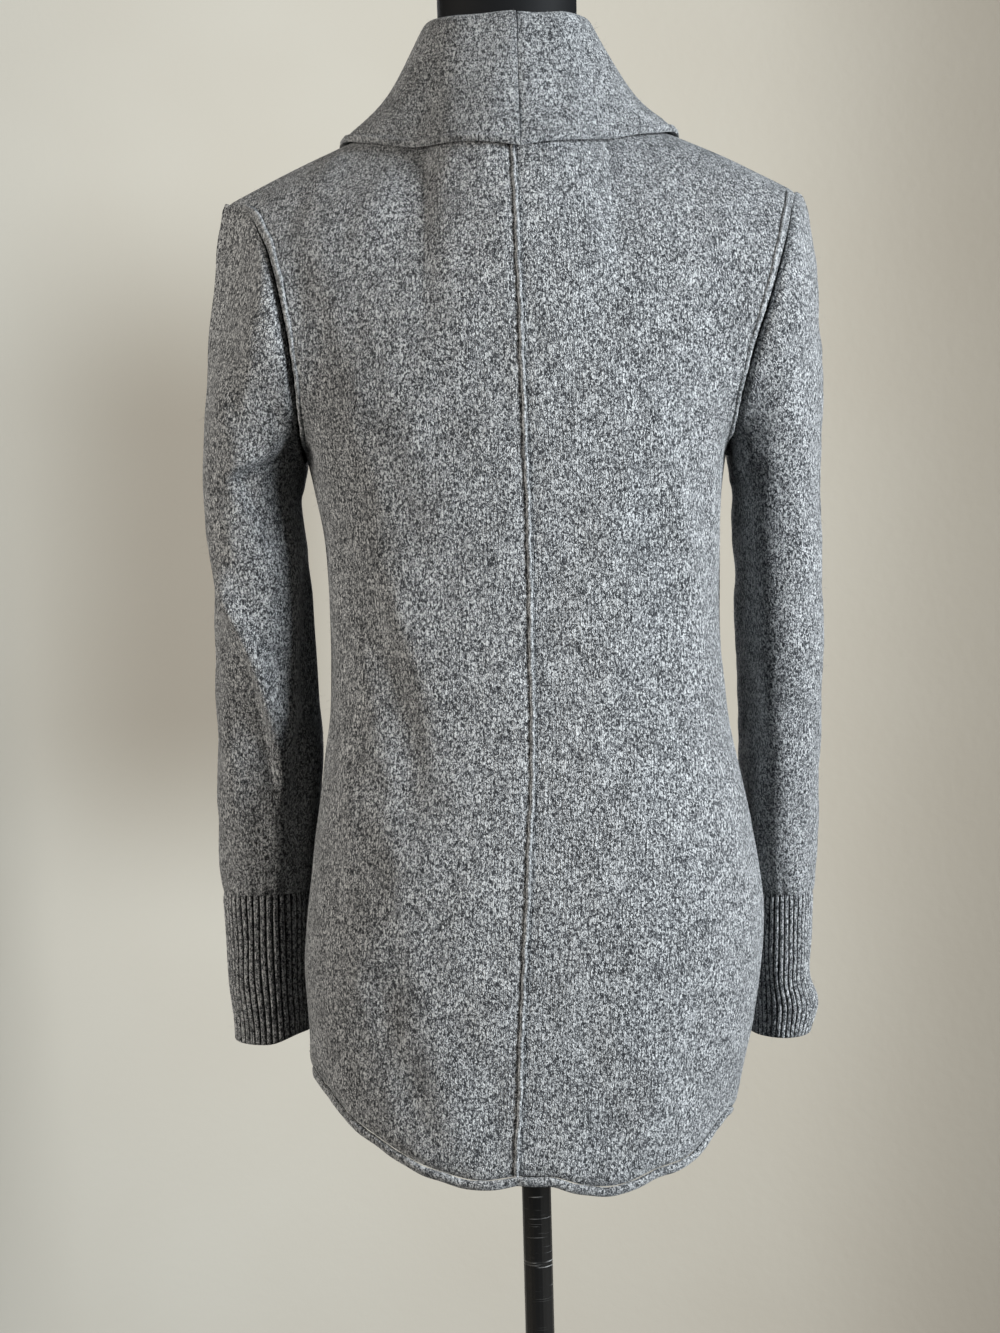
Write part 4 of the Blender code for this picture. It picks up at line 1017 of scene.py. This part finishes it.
def make_bands(finish, laid):
    """Rolled bands along the back hem and round the fronts."""
    left, right = laid[LEFT, BACK], laid[RIGHT, BACK]
    path, normals, where = finer(np.concatenate([left.points[0, ::-1], right.points[0, 1:]]),
                                 np.concatenate([left.normals[0, ::-1], right.normals[0, 1:]]), 0.0016)
    plump = dying_ends(where, BAND_FLAT)
    path = path + normals * (BACK_BAND_STANDS * plump)[:, None]
    piece = strip("knit_hem_band_back", finish, path, normals, rolled_profile(-1),
                  sway=0.0003 * np.sin(where * 260),
                  puff=bulges(where, 3, 0.011, 0.05) * (0.45 + 0.55 * plump),
                  narrow=0.55 + 0.45 * dying_ends(where, BAND_NARROW))
    pieces = {"hem_band_back": link(piece, "wool", "hem_band_back")}
    for side, word in SIDES:
        front = laid[side, FRONT]
        rise = np.searchsorted(front.v, LAPEL_SHARE + 0.001)
        path, normals, where = finer(*(np.concatenate([grid[0, ::-1], grid[1:rise, 0]])
                                       for grid in (front.points, front.normals)), 0.0018)
        plump = smoothstep(0, BAND_FLAT, where)
        path = path + normals * (FRONT_BAND_STANDS * plump * dying_ends(where, BAND_NARROW))[:, None]
        node = "front_band_" + word
        piece = strip("knit_" + node, finish, path, normals, rolled_profile(side),
                      puff=bulges(where, 7 + side, 0.012, 0.05) * (0.45 + 0.55 * plump),
                      narrow=0.55 + 0.45 * smoothstep(0, BAND_NARROW, where))
        pieces[node] = link(piece, "wool", node)
    return pieces


def make_seams(finish, laid):
    """Raised seams: down the centre back and just inside the armholes."""
    back = laid[LEFT, BACK]
    rows = back.v < 1.90
    path, out, where = finer(back.points[rows, 0], back.normals[rows, 0], 0.0008)
    out[:, 0] *= 0.3
    path[:, 0] -= 0.0006
    piece = strip("knit_seam_centre_back", finish, path, unit(out), seam_profile(*CENTRE_RIDGE),
                  sway=0.00025 * np.sin(where * 310) + 0.0002 * np.sin(where * 97),
                  puff=bulges(where, 11, 0.0034, 0.12))
    pieces = {"back_left": [link(piece, "wool", "seam_ridge_centre_back")]}
    for side, word in SIDES:
        back = laid[side, BACK]
        column = int(np.argmin(np.abs(back.u - WELT_SHARE)))
        rows = (back.v > 1.10) & (back.v < 1.975)
        path, out, where = finer(back.points[rows, column], back.normals[rows, column], 0.0009)
        piece = strip("knit_seam_armhole_" + word, finish, path, out, seam_profile(*ARMHOLE_RIDGE),
                      sway=0.0003 * np.sin(where * 190),
                      puff=bulges(where, 13 + side, 0.0040, 0.08) * dying_ends(where))
        pieces.setdefault("back_" + word, []).append(link(piece, "wool", "seam_ridge_armhole_" + word))
    return pieces


# ---------------------------------------------------------------- nap and lint
FIBRE_CORNERS = (0, 2.094, 4.189)   # a fibre's section is a triangle; radians
HAIR_RINGS = 6                      # sections of a long stray hair


def scattered(patches, count, draw):
    """Random places on grids of points, evenly by area: points and normals."""
    cells = []
    for points, normals in patches:
        across, up = np.diff(points, axis=1)[:-1], np.diff(points, axis=0)[:, :-1]
        cells.append(np.linalg.norm(np.cross(across, up), axis=-1).ravel())
    areas = np.concatenate(cells)
    chosen = np.sort(draw.choice(len(areas), count, p=areas / areas.sum()))
    spots, outs, passed = [], [], 0
    for (points, normals), cell in zip(patches, cells):
        mine = chosen[(chosen >= passed) & (chosen < passed + len(cell))] - passed
        passed += len(cell)
        r, c = np.divmod(mine, points.shape[1] - 1)
        a, b = draw.random((len(mine), 1)), draw.random((len(mine), 1))
        for grid, found in ((points, spots), (normals, outs)):
            found.append((1 - a) * (1 - b) * grid[r, c] + a * (1 - b) * grid[r, c + 1]
                         + (1 - a) * b * grid[r + 1, c] + a * b * grid[r + 1, c + 1])
    return np.concatenate(spots), unit(np.concatenate(outs))


def make_nap(name, kind, finish, patch, seed):
    """Fine wool fibres standing off the cloth, and a few long stray hairs."""
    draw = np.random.default_rng(seed)
    count, strays = NAP[kind]
    spots, outs = scattered([patch], count, draw)
    lean = unit(draw.normal(size=(count, 3)))
    aim = unit(outs * draw.uniform(0.25, 1.0, (count, 1)) + lean * 0.8)
    aim = np.where((aim * outs).sum(-1, keepdims=True) < 0.15, unit(aim + outs), aim)
    length = np.clip(draw.gamma(3.0, 0.00042, (count, 1)), 0.0005, 0.0034)
    thick = draw.uniform(0.000035, 0.000065, (count, 1))
    side_a = unit(np.cross(aim, outs + lean * 0.3))
    side_b = np.cross(aim, side_a)
    root = spots - outs * 0.0002
    corners = [root + thick * (side_a * math.cos(t) + side_b * math.sin(t)) for t in FIBRE_CORNERS]
    points = np.stack(corners + [root + aim * length], axis=1).reshape(-1, 3)
    base = np.arange(count)[:, None] * 4
    faces = np.concatenate([base + q for q in ((0, 2, 1), (0, 1, 3), (1, 2, 3), (2, 0, 3))]).tolist()
    hair_points, hair_faces = stray_hairs(patch, strays, draw, len(points))
    piece = closed_mesh(name, finish, np.concatenate([points] + hair_points), faces + hair_faces)
    return link(piece, "wool")


def stray_hairs(patch, count, draw, first):
    """Long curled hairs, each a thin tapering tube; their points are numbered from `first`."""
    spots, outs = scattered([patch], count, draw)
    points, faces = [], []
    for spot, out in zip(spots, outs):
        aim = unit(out * 0.8 + draw.normal(size=3) * 0.6)
        curl = draw.normal(size=3) * 0.35
        step = draw.uniform(0.0009, 0.0019)
        place, rings = spot - out * 0.0003, []
        for i in range(HAIR_RINGS):
            sideways = unit(np.cross(aim, (0.3, 0.5, 0.81)))
            other = np.cross(aim, sideways)
            radius = 0.00006 * (1 - i / 6.5)
            rings += [place + radius * (sideways * math.cos(t) + other * math.sin(t))
                      for t in FIBRE_CORNERS]
            place = place + aim * step
            aim = unit(aim + curl * 0.5 + np.array((0, 0, -0.12)))
        base = first + sum(len(p) for p in points)
        points.append(np.array(rings))
        faces.append([base, base + 2, base + 1])
        for i in range(HAIR_RINGS - 1):
            for j in range(3):
                a, b = base + 3 * i + j, base + 3 * i + (j + 1) % 3
                faces.append([a, b, b + 3, a + 3])
        end = base + 3 * (HAIR_RINGS - 1)
        faces.append([end, end + 1, end + 2])
    return points, faces


def make_lint(finish, patches, count):
    """Small pills and neps caught on the cloth."""
    draw = np.random.default_rng(97)
    spots, outs = scattered(patches, count, draw)
    seed_mesh = bmesh.new()
    bmesh.ops.create_icosphere(seed_mesh, subdivisions=1, radius=1)
    ball = np.array([v.co for v in seed_mesh.verts])
    ball_faces = np.array([[v.index for v in f.verts] for f in seed_mesh.faces])
    seed_mesh.free()
    size = np.clip(draw.gamma(3.0, 0.00011, (count, 1, 1)), 0.00014, 0.00075)
    rough = 1 + draw.normal(size=(count, len(ball), 1)) * 0.22
    shape = ball[None] * rough * size
    sink = (shape * outs[:, None]).sum(-1, keepdims=True) * 0.45
    points = spots[:, None] + shape - outs[:, None] * (sink - 0.0001)
    faces = (ball_faces[None] + np.arange(count)[:, None, None] * len(ball)).reshape(-1, 3).tolist()
    return link(closed_mesh("wool_neps", finish, points.reshape(-1, 3), faces), "wool")


# ---------------------------------------------------------------- dress form
def make_form(finish):
    """Smooth closed torso with shoulder ends and a neck."""
    turns = np.radians(np.linspace(0, 360, FORM_COLUMNS, endpoint=False))
    heights = np.concatenate([np.linspace(0.745, 0.752, 5), np.linspace(0.752, 1.500, 110)[1:],
                              np.linspace(1.500, 1.525, 12)[1:]])
    hh, tt = np.meshgrid(heights, turns, indexing="ij")
    bend = 2 / 2.25
    c, s = np.cos(tt), np.sin(tt)
    deep = np.where(s >= 0, read(FORM, "back", hh), read(FORM, "front", hh))
    points = stack(read(FORM, "wide", hh) * power(c, bend), deep * power(s, bend), hh)
    rows, cols = points.shape[:2]
    faces = [(r * cols + c, r * cols + (c + 1) % cols, (r + 1) * cols + (c + 1) % cols, (r + 1) * cols + c)
             for r in range(rows - 1) for c in range(cols)]
    faces += [tuple(range(cols))[::-1], tuple(range((rows - 1) * cols, rows * cols))]
    piece = closed_mesh("dress_form_cover", finish, points.reshape(-1, 3), faces, sharp=50)
    return link(piece, "form_cover", "dress_form")


# ---------------------------------------------------------------- shader groups
def add(tree, kind, settings=None, **inputs):
    """A shader node; inputs are values or the sockets that feed them."""
    made = tree.nodes.new(kind)
    for name, value in (settings or {}).items():
        setattr(made, name, value)
    for name, value in inputs.items():
        key = int(name[1:]) if name[0] == "_" and name[1:].isdigit() else name.replace("_", " ")
        feed(tree, made.inputs[key], value)
    return made


def feed(tree, socket, value):
    """Links a socket to an input, or sets the input's value."""
    if isinstance(value, bpy.types.NodeSocket):
        tree.links.new(value, socket)
    else:
        socket.default_value = value


def maths(tree, operation, a, b=0.0, c=0.0, clamp=False):
    """One sum on values that change over the surface."""
    made = add(tree, "ShaderNodeMath", {"operation": operation, "use_clamp": clamp}, _0=a, _1=b, _2=c)
    return made.outputs[0]


def between(tree, value, low, high):
    """0 below low, 1 above high, smooth between."""
    made = add(tree, "ShaderNodeMapRange", {"interpolation_type": "SMOOTHSTEP"},
               Value=value, From_Min=low, From_Max=high)
    return made.outputs["Result"]


def blend(tree, share, a, b, kind="MIX"):
    """Colour a going over to colour b."""
    made = tree.nodes.new("ShaderNodeMix")
    made.data_type, made.blend_type = "RGBA", kind
    feed(tree, made.inputs["Factor"], share)
    feed(tree, made.inputs[6], a)
    feed(tree, made.inputs[7], b)
    return made.outputs[2]


def noise(tree, vector, scale, detail=2.0, distortion=0.0):
    """Cloudy value between 0 and 1."""
    made = add(tree, "ShaderNodeTexNoise", Vector=vector, Scale=scale, Detail=detail, Distortion=distortion)
    return made.outputs["Fac"]


def shader_group(name, inputs, outputs):
    """Empty node group with its sockets; returns the tree, its inputs and its outputs."""
    tree = bpy.data.node_groups.new(name, "ShaderNodeTree")
    for label, kind, value in inputs:
        socket = tree.interface.new_socket(label, in_out="INPUT", socket_type="NodeSocket" + kind)
        if value is not None:
            socket.default_value = value
    for label, kind in outputs:
        tree.interface.new_socket(label, in_out="OUTPUT", socket_type="NodeSocket" + kind)
    return tree, tree.nodes.new("NodeGroupInput").outputs, tree.nodes.new("NodeGroupOutput").inputs


def melange_group():
    """Wool spun from dark, middle and pale fibres: colour, and the height of its fuzz."""
    tree, given, out = shader_group(
        "melange_wool",
        [("Vector", "Vector", None), ("Dark", "Color", (0.05, 0.05, 0.055, 1)),
         ("Middle", "Color", (0.19, 0.2, 0.205, 1)), ("Pale", "Color", (0.45, 0.46, 0.46, 1)),
         ("Fleck Size", "Float", 0.00130), ("Blotches", "Float", 0.16)],
        [("Color", "Color"), ("Height", "Float")])
    long_way = add(tree, "ShaderNodeVectorMath", {"operation": "MULTIPLY"}, _0=given["Vector"],
                   _1=(1.0, 1.0, 0.62)).outputs[0]
    per_metre = maths(tree, "DIVIDE", 1.0, given["Fleck Size"])
    worms = noise(tree, long_way, per_metre, 2.0, 1.2)
    hairs = noise(tree, long_way, maths(tree, "MULTIPLY", per_metre, 3.1), 1.0, 0.4)
    clouds = noise(tree, given["Vector"], 75.0, 3.0)
    tufts = maths(tree, "ADD", maths(tree, "MULTIPLY", worms, 0.70),
                  maths(tree, "MULTIPLY", hairs, 0.30))
    dark_mid = blend(tree, between(tree, tufts, 0.432, 0.508), given["Dark"], given["Middle"])
    wool = blend(tree, between(tree, tufts, 0.498, 0.588), dark_mid, given["Pale"])
    shade = maths(tree, "MULTIPLY_ADD", maths(tree, "SUBTRACT", clouds, 0.5),
                  maths(tree, "MULTIPLY", given["Blotches"], 4.0), 1.0)
    cells = add(tree, "ShaderNodeTexVoronoi", {"feature": "F1"}, Vector=given["Vector"], Scale=170.0)
    lucky = maths(tree, "GREATER_THAN", add(tree, "ShaderNodeSeparateColor",
                                            Color=cells.outputs["Color"]).outputs[0], 0.72)
    nep = maths(tree, "MULTIPLY", lucky, maths(tree, "LESS_THAN", cells.outputs["Distance"], 0.085))
    shaded = blend(tree, 1.0, wool, add(tree, "ShaderNodeCombineColor", Red=shade, Green=shade,
                                        Blue=shade).outputs[0], "MULTIPLY")
    coloured = blend(tree, maths(tree, "MULTIPLY", nep, 0.75), shaded, NEP_PALE)
    tree.links.new(coloured, out["Color"])
    tree.links.new(maths(tree, "ADD", tufts, maths(tree, "MULTIPLY", nep, 0.25)), out["Height"])
    return tree


def stitch_group():
    """Stocking stitch, softened by felting: height, and a mask of the furrows between the columns, where
    shade is painted.
    """
    tree, given, out = shader_group(
        "stocking_stitch",
        [("Knit", "Vector", None), ("Vector", "Vector", None), ("Wale", "Float", WALE),
         ("Course", "Float", COURSE), ("Felting", "Float", 0.5)],
        [("Height", "Float"), ("Furrow", "Float")])
    knit = add(tree, "ShaderNodeSeparateXYZ", Vector=given["Knit"]).outputs
    wander = maths(tree, "MULTIPLY", maths(tree, "SUBTRACT",
                                           noise(tree, given["Vector"], 300.0, 1.0), 0.5), 0.9)
    column = maths(tree, "ADD", maths(tree, "DIVIDE", knit[0], given["Wale"]), wander)
    from_middle = maths(tree, "ABSOLUTE", maths(tree, "MULTIPLY_ADD",
                                                maths(tree, "FRACT", column), 2.0, -1.0))
    leg = maths(tree, "SUBTRACT", 1.0, maths(tree, "POWER", maths(tree, "ABSOLUTE", maths(
        tree, "MULTIPLY_ADD", from_middle, 2.0, -1.0)), 2.0))
    leg = maths(tree, "MAXIMUM", leg,
                maths(tree, "MULTIPLY", maths(tree, "SUBTRACT", 1.0, from_middle), 0.6))
    row = maths(tree, "ADD", maths(tree, "DIVIDE", knit[1], given["Course"]),
                maths(tree, "MULTIPLY", from_middle, 0.9))
    wave = maths(tree, "COSINE", maths(tree, "MULTIPLY", row, 2 * math.pi))
    loop = maths(tree, "MULTIPLY_ADD", wave, 0.25, 0.75)
    matted = between(tree, noise(tree, given["Vector"], 55.0, 2.0), 0.36, 0.62)
    clear = maths(tree, "SUBTRACT", 1.0, maths(tree, "MULTIPLY", matted, given["Felting"]))
    tree.links.new(maths(tree, "MULTIPLY", maths(tree, "MULTIPLY", leg, loop), clear), out["Height"])
    tree.links.new(maths(tree, "MULTIPLY", between(tree, from_middle, 0.70, 1.0), clear), out["Furrow"])
    return tree


def rubbed_group():
    """Enamel rubbed by sliding parts: a mask of fine scratches, denser where it is worn."""
    tree, given, out = shader_group(
        "rubbed_enamel",
        [("Vector", "Vector", None), ("Across", "Vector", (40.0, 40.0, 1500.0)), ("Amount", "Float", 0.5)],
        [("Mask", "Float")])
    lines = noise(tree, add(tree, "ShaderNodeVectorMath", {"operation": "MULTIPLY"}, _0=given["Vector"],
                            _1=given["Across"]).outputs[0], 1.0, 3.0, 0.3)
    patches = noise(tree, given["Vector"], 70.0, 2.0)
    worn = between(tree, patches, maths(tree, "SUBTRACT", 1.0, given["Amount"]), 0.75)
    tree.links.new(maths(tree, "MULTIPLY", between(tree, lines, 0.60, 0.68), worn), out["Mask"])
    return tree


# ---------------------------------------------------------------- materials
def finish_shell(name):
    """New material, its tree and its shader."""
    made = bpy.data.materials.new(name)
    made.use_nodes = True
    return made, made.node_tree, made.node_tree.nodes["Principled BSDF"]


def place(tree, group, **inputs):
    """Puts a group in a material's tree; returns its outputs."""
    made = tree.nodes.new("ShaderNodeGroup")
    made.node_tree = group
    for name, value in inputs.items():
        feed(tree, made.inputs[name.replace("_", " ")], value)
    return made.outputs


def wool_finish(name, groups, wale=WALE, course=COURSE, felting=0.50, stitch=1.0, ribbed=False,
                knitted=True, dark=WOOL_DARK, middle=WOOL_MIDDLE, pale=WOOL_PALE):
    """Melange wool, with stitches unless it is loose fibre; painted shade in the furrows between the columns
    of stitches, and darker painted shade between the ribs where it is ribbed.
    """
    made, tree, shader = finish_shell(name)
    where = add(tree, "ShaderNodeTexCoord").outputs["Object"]
    wool = place(tree, groups["melange"], Vector=where, Dark=dark, Middle=middle, Pale=pale)
    colour, height = wool["Color"], maths(tree, "MULTIPLY", wool["Height"], 1.3)
    if knitted:
        knit = add(tree, "ShaderNodeUVMap", {"uv_map": "knit"}).outputs[0]
        stitches = place(tree, groups["stitch"], Knit=knit, Vector=where, Wale=wale, Course=course,
                         Felting=felting)
        height = maths(tree, "ADD", height, maths(tree, "MULTIPLY", stitches["Height"], 0.9 * stitch))
        # painted shade in the furrows between the columns of stitches
        painted_shade = maths(tree, "MULTIPLY", stitches["Furrow"], 0.80 * stitch)
        colour = blend(tree, painted_shade, colour, FURROW_PAINTED_SHADE)
    if ribbed:
        # painted shade, nearly black, in the furrows between the ribs
        rib = add(tree, "ShaderNodeSeparateXYZ", Vector=knit).outputs[0]
        off = maths(tree, "ABSOLUTE", maths(tree, "SUBTRACT", maths(tree, "FRACT", maths(
            tree, "ADD", rib, 0.5)), 0.5))
        rib_shade_mask = maths(tree, "SUBTRACT", 1.0, between(tree, off, 0.04, 0.24))
        colour = blend(tree, maths(tree, "MULTIPLY", rib_shade_mask, 0.93), colour, RIB_PAINTED_SHADE)
    bump = add(tree, "ShaderNodeBump", Strength=0.9, Distance=0.0008, Height=height)
    tree.links.new(colour, shader.inputs["Base Color"])
    tree.links.new(bump.outputs[0], shader.inputs["Normal"])
    shader.inputs["Roughness"].default_value = 0.95
    shader.inputs["Specular IOR Level"].default_value = 0.15
    shader.inputs["Sheen Weight"].default_value = 0.22
    shader.inputs["Sheen Roughness"].default_value = 0.45
    shader.inputs["Sheen Tint"].default_value = (0.80, 0.83, 0.86, 1)
    return made


def form_finish():
    """Black stretch cover of the dress form, a little dusty in places."""
    made, tree, shader = finish_shell("form_black_cover")
    where = add(tree, "ShaderNodeTexCoord").outputs["Object"]
    thread = noise(tree, where, 1400.0, 2.0)
    colour = blend(tree, between(tree, noise(tree, where, 35.0, 3.0), 0.35, 0.7), COVER_BLACK, COVER_WORN)
    tree.links.new(colour, shader.inputs["Base Color"])
    bump = add(tree, "ShaderNodeBump", Strength=0.5, Distance=0.0002, Height=thread)
    tree.links.new(bump.outputs[0], shader.inputs["Normal"])
    shader.inputs["Roughness"].default_value = 0.72
    shader.inputs["Specular IOR Level"].default_value = 0.18
    return made


def enamel_finish(name, groups, across, amount, band, rough):
    """Black enamel; `across` sets the scratches' fineness, `band` the heights where it is most worn."""
    made, tree, shader = finish_shell(name)
    where = add(tree, "ShaderNodeTexCoord").outputs["Object"]
    mask = place(tree, groups["rubbed"], Vector=where, Across=across, Amount=amount)["Mask"]
    height = add(tree, "ShaderNodeSeparateXYZ", Vector=where).outputs[2]
    low, high = band
    inside = maths(tree, "MULTIPLY", between(tree, height, low, low + 0.02),
                   maths(tree, "SUBTRACT", 1.0, between(tree, height, high - 0.012, high)))
    mask = maths(tree, "MULTIPLY", mask, maths(tree, "MULTIPLY_ADD", inside, 0.92, 0.08), clamp=True)
    colour = blend(tree, mask, ENAMEL_BLACK, ENAMEL_RUBBED)
    tree.links.new(colour, shader.inputs["Base Color"])
    smudge = noise(tree, where, 45.0, 3.0)
    rough_now = maths(tree, "ADD", maths(tree, "MULTIPLY", smudge, 0.18),
                      maths(tree, "MULTIPLY_ADD", mask, 0.3, rough - 0.09))
    tree.links.new(rough_now, shader.inputs["Roughness"])
    bump = add(tree, "ShaderNodeBump", Strength=0.15, Distance=0.0001,
               Height=maths(tree, "SUBTRACT", 1.0, mask))
    tree.links.new(bump.outputs[0], shader.inputs["Normal"])
    shader.inputs["Specular IOR Level"].default_value = 0.22
    return made


# ---------------------------------------------------------------- studio
def studio_plaster():
    """Matt pale plaster with painted shade towards both sides (a painted shadow of the garment at +X), and
    not seen from outside the wall.
    """
    paint, tree, shader = finish_shell("studio_plaster")
    where = add(tree, "ShaderNodeTexCoord").outputs["Object"]
    across, _, height = add(tree, "ShaderNodeSeparateXYZ", Vector=where).outputs
    # painted shade: the wall and floor dim towards -X; at +X a soft band between two heights is a painted
    # shadow of the garment
    right_painted_shade = between(tree, across, -0.27, -0.53)
    left_painted_shadow = maths(tree, "MULTIPLY", between(tree, across, 0.69, 0.38), maths(
        tree, "MULTIPLY", between(tree, across, 0.11, 0.33), maths(
            tree, "MULTIPLY", between(tree, height, 0.72, 1.0), between(tree, height, 1.62, 1.30))))
    colour = blend(tree, noise(tree, where, 2.2, 3.0), WALL_WARM, WALL_PALE)
    painted_shade = maths(tree, "ADD", maths(tree, "MULTIPLY", right_painted_shade, 0.35),
                maths(tree, "MULTIPLY", left_painted_shadow, 0.8), clamp=True)
    colour = blend(tree, painted_shade, colour, WALL_PAINTED_SHADE)
    tree.links.new(colour, shader.inputs["Base Color"])
    bump = add(tree, "ShaderNodeBump", Strength=0.12, Distance=0.002,
               Height=noise(tree, where, 90.0, 4.0))
    tree.links.new(bump.outputs[0], shader.inputs["Normal"])
    shader.inputs["Roughness"].default_value = 0.95
    see_through = add(tree, "ShaderNodeBsdfTransparent").outputs[0]
    behind = add(tree, "ShaderNodeNewGeometry").outputs["Backfacing"]
    mixed = add(tree, "ShaderNodeMixShader", _0=behind, _1=shader.outputs[0], _2=see_through)
    tree.links.new(mixed.outputs[0], tree.nodes["Material Output"].inputs["Surface"])
    return paint


def make_room(paint):
    """Pale floor, and a wall all round, both with the plaster's painted shade."""
    turns = np.radians(np.linspace(0, 360, WALL_COLUMNS, endpoint=False))
    foot = [(WALL_RADIUS * math.cos(a), WALL_RADIUS * math.sin(a)) for a in turns]
    points = [(x, y, z) for z in (0.0, WALL_HEIGHT) for x, y in foot]
    faces = [(i, WALL_COLUMNS + i, WALL_COLUMNS + (i + 1) % WALL_COLUMNS, (i + 1) % WALL_COLUMNS)
             for i in range(WALL_COLUMNS)]
    wall = studio_piece("studio_wall", paint, points, faces)
    wall.data.shade_smooth()
    corners = [(x * FLOOR_HALF, y * FLOOR_HALF, 0) for x, y in ((-1, -1), (1, -1), (1, 1), (-1, 1))]
    floor = studio_piece("studio_floor", paint, corners, [(0, 1, 2, 3)])
    floor.visible_diffuse = False
    wall.visible_diffuse = wall.visible_glossy = wall.visible_shadow = wall.visible_transmission = False


def studio_piece(name, paint, points, faces):
    """One piece of the studio, which isn't part of the object."""
    mesh = bpy.data.meshes.new(name)
    mesh.from_pydata(points, [], faces)
    mesh.materials.append(paint)
    piece = bpy.data.objects.new(name, mesh)
    bpy.context.scene.collection.objects.link(piece)
    return piece


def make_light():
    """Soft lamps, and weak light from all round."""
    for name, where, aim, wide, high, colour, watts in LAMPS:
        lamp = bpy.data.lights.new(name, "AREA")
        lamp.shape, lamp.size, lamp.size_y = "RECTANGLE", wide, high
        lamp.color, lamp.energy = colour, watts
        holder = bpy.data.objects.new(name, lamp)
        holder.location = where
        holder.rotation_euler = (Vector(aim) - Vector(where)).to_track_quat("-Z", "Y").to_euler()
        bpy.context.scene.collection.objects.link(holder)
    world = bpy.data.worlds.new("studio_air")
    world.use_nodes = True
    background = world.node_tree.nodes["Background"]
    background.inputs["Color"].default_value = AIR_COLOUR
    background.inputs["Strength"].default_value = AIR
    bpy.context.scene.world = world
    bpy.context.scene.view_settings.view_transform = "Standard"


def make_camera():
    """Camera behind the garment, level, and turned a little about its own line of sight."""
    eye = bpy.data.objects.new("eye", bpy.data.cameras.new("eye"))
    eye.data.lens = EYE_LENS
    turn = (Matrix.Rotation(math.pi, 4, "Z") @ Matrix.Rotation(math.pi / 2, 4, "X")
            @ Matrix.Rotation(-EYE_TILT, 4, "Z"))
    eye.matrix_world = Matrix.Translation(EYE) @ turn
    bpy.context.scene.collection.objects.link(eye)
    bpy.context.scene.camera = eye


# ---------------------------------------------------------------- assembly
def dress_cad_node(name, finish):
    """Gives a CAD node that stays a better finish."""
    node = frame["nodes"][name]
    node.data.materials.clear()
    node.data.materials.append(finish)


def make_finishes():
    """All the garment's finishes, by the kind of knit."""
    groups = {"melange": melange_group(), "stitch": stitch_group(), "rubbed": rubbed_group()}
    wools = {
        "jersey": wool_finish("grey_melange_knit", groups),
        # the collar's pale fibres are painted darker, as painted shade
        "collar": wool_finish("grey_melange_collar", groups, felting=0.75, stitch=0.8, pale=COLLAR_SHADED_PALE),
        "rib": wool_finish("grey_melange_rib", groups, wale=0.5, felting=0.25, stitch=0.7, ribbed=True),
        "edging": wool_finish("grey_melange_edging", groups, wale=0.0016, course=0.0014, felting=0.4,
                              stitch=0.6),
        # the raised seams' wool carries a painted highlight: paler dark and middle fibres
        "ridge": wool_finish("grey_melange_ridge", groups, wale=0.0020, course=0.0030, felting=0.3,
                             stitch=0.5, dark=RIDGE_HIGHLIGHT_DARK, middle=RIDGE_HIGHLIGHT_MIDDLE),
        "loose": wool_finish("grey_melange_loose_fibre", groups, knitted=False),
    }
    return groups, wools


def make_stand(groups):
    """The dress form, and better finishes for the pole and the base."""
    form = make_form(form_finish())
    dress_cad_node("stand_pole", enamel_finish("pole_black_enamel", groups, (26.0, 26.0, 620.0), 0.62,
                                               (0.585, 0.668), 0.15))
    dress_cad_node("stand_base", enamel_finish("base_black_enamel", groups, (60.0, 60.0, 60.0), 0.42,
                                               (0.0, 0.009), 0.42))
    return form


def make_garment(wools, form):
    """Every cloth piece, with its nap, its bands and its raised seams."""
    laid = {(side, face): laid_panel(side, face) for side in (LEFT, RIGHT) for face in (BACK, FRONT)}
    bands, seams = make_bands(wools["edging"], laid), make_seams(wools["ridge"], laid)
    tree = body_tree(laid)
    everywhere = []
    for side, word in SIDES:
        for face, kind in ((BACK, "back"), (FRONT, "front")):
            name = kind + "_" + word
            piece = make_panel(name, wools["jersey"], laid[side, face])
            patch = laid[side, face].points, laid[side, face].normals
            nap = make_nap("nap_" + name, kind, wools["loose"], patch, 100 + len(everywhere))
            extras = [nap] + seams.get(name, [])
            extras += [bands["hem_band_back"]] if name == "back_left" else []
            extras += [bands["front_band_" + word]] if face == FRONT else []
            everywhere.append(patch)
        sleeve = laid_sleeve(side)
        piece = make_sleeve("sleeve_" + word, wools["jersey"], sleeve)
        nap = make_nap("nap_sleeve_" + word, "sleeve", wools["loose"], sleeve[:2], 200 + side)
        everywhere.append(sleeve[:2])
        piece, patch = make_cuff("cuff_" + word, wools["rib"], side)
        nap = make_nap("nap_cuff_" + word, "cuff", wools["loose"], patch, 300 + side)
        piece, outer, normals = make_collar("collar_" + word, wools["collar"], side, tree)
        nap = make_nap("nap_collar_" + word, "collar", wools["loose"], (outer[12:], normals[12:]), 400 + side)
        everywhere.append((outer[20:], normals[20:]))
    make_lint(wools["loose"], everywhere, NEPS)


make_room(studio_plaster())
make_light()
make_camera()
shared, knits = make_finishes()
make_garment(knits, make_stand(shared))
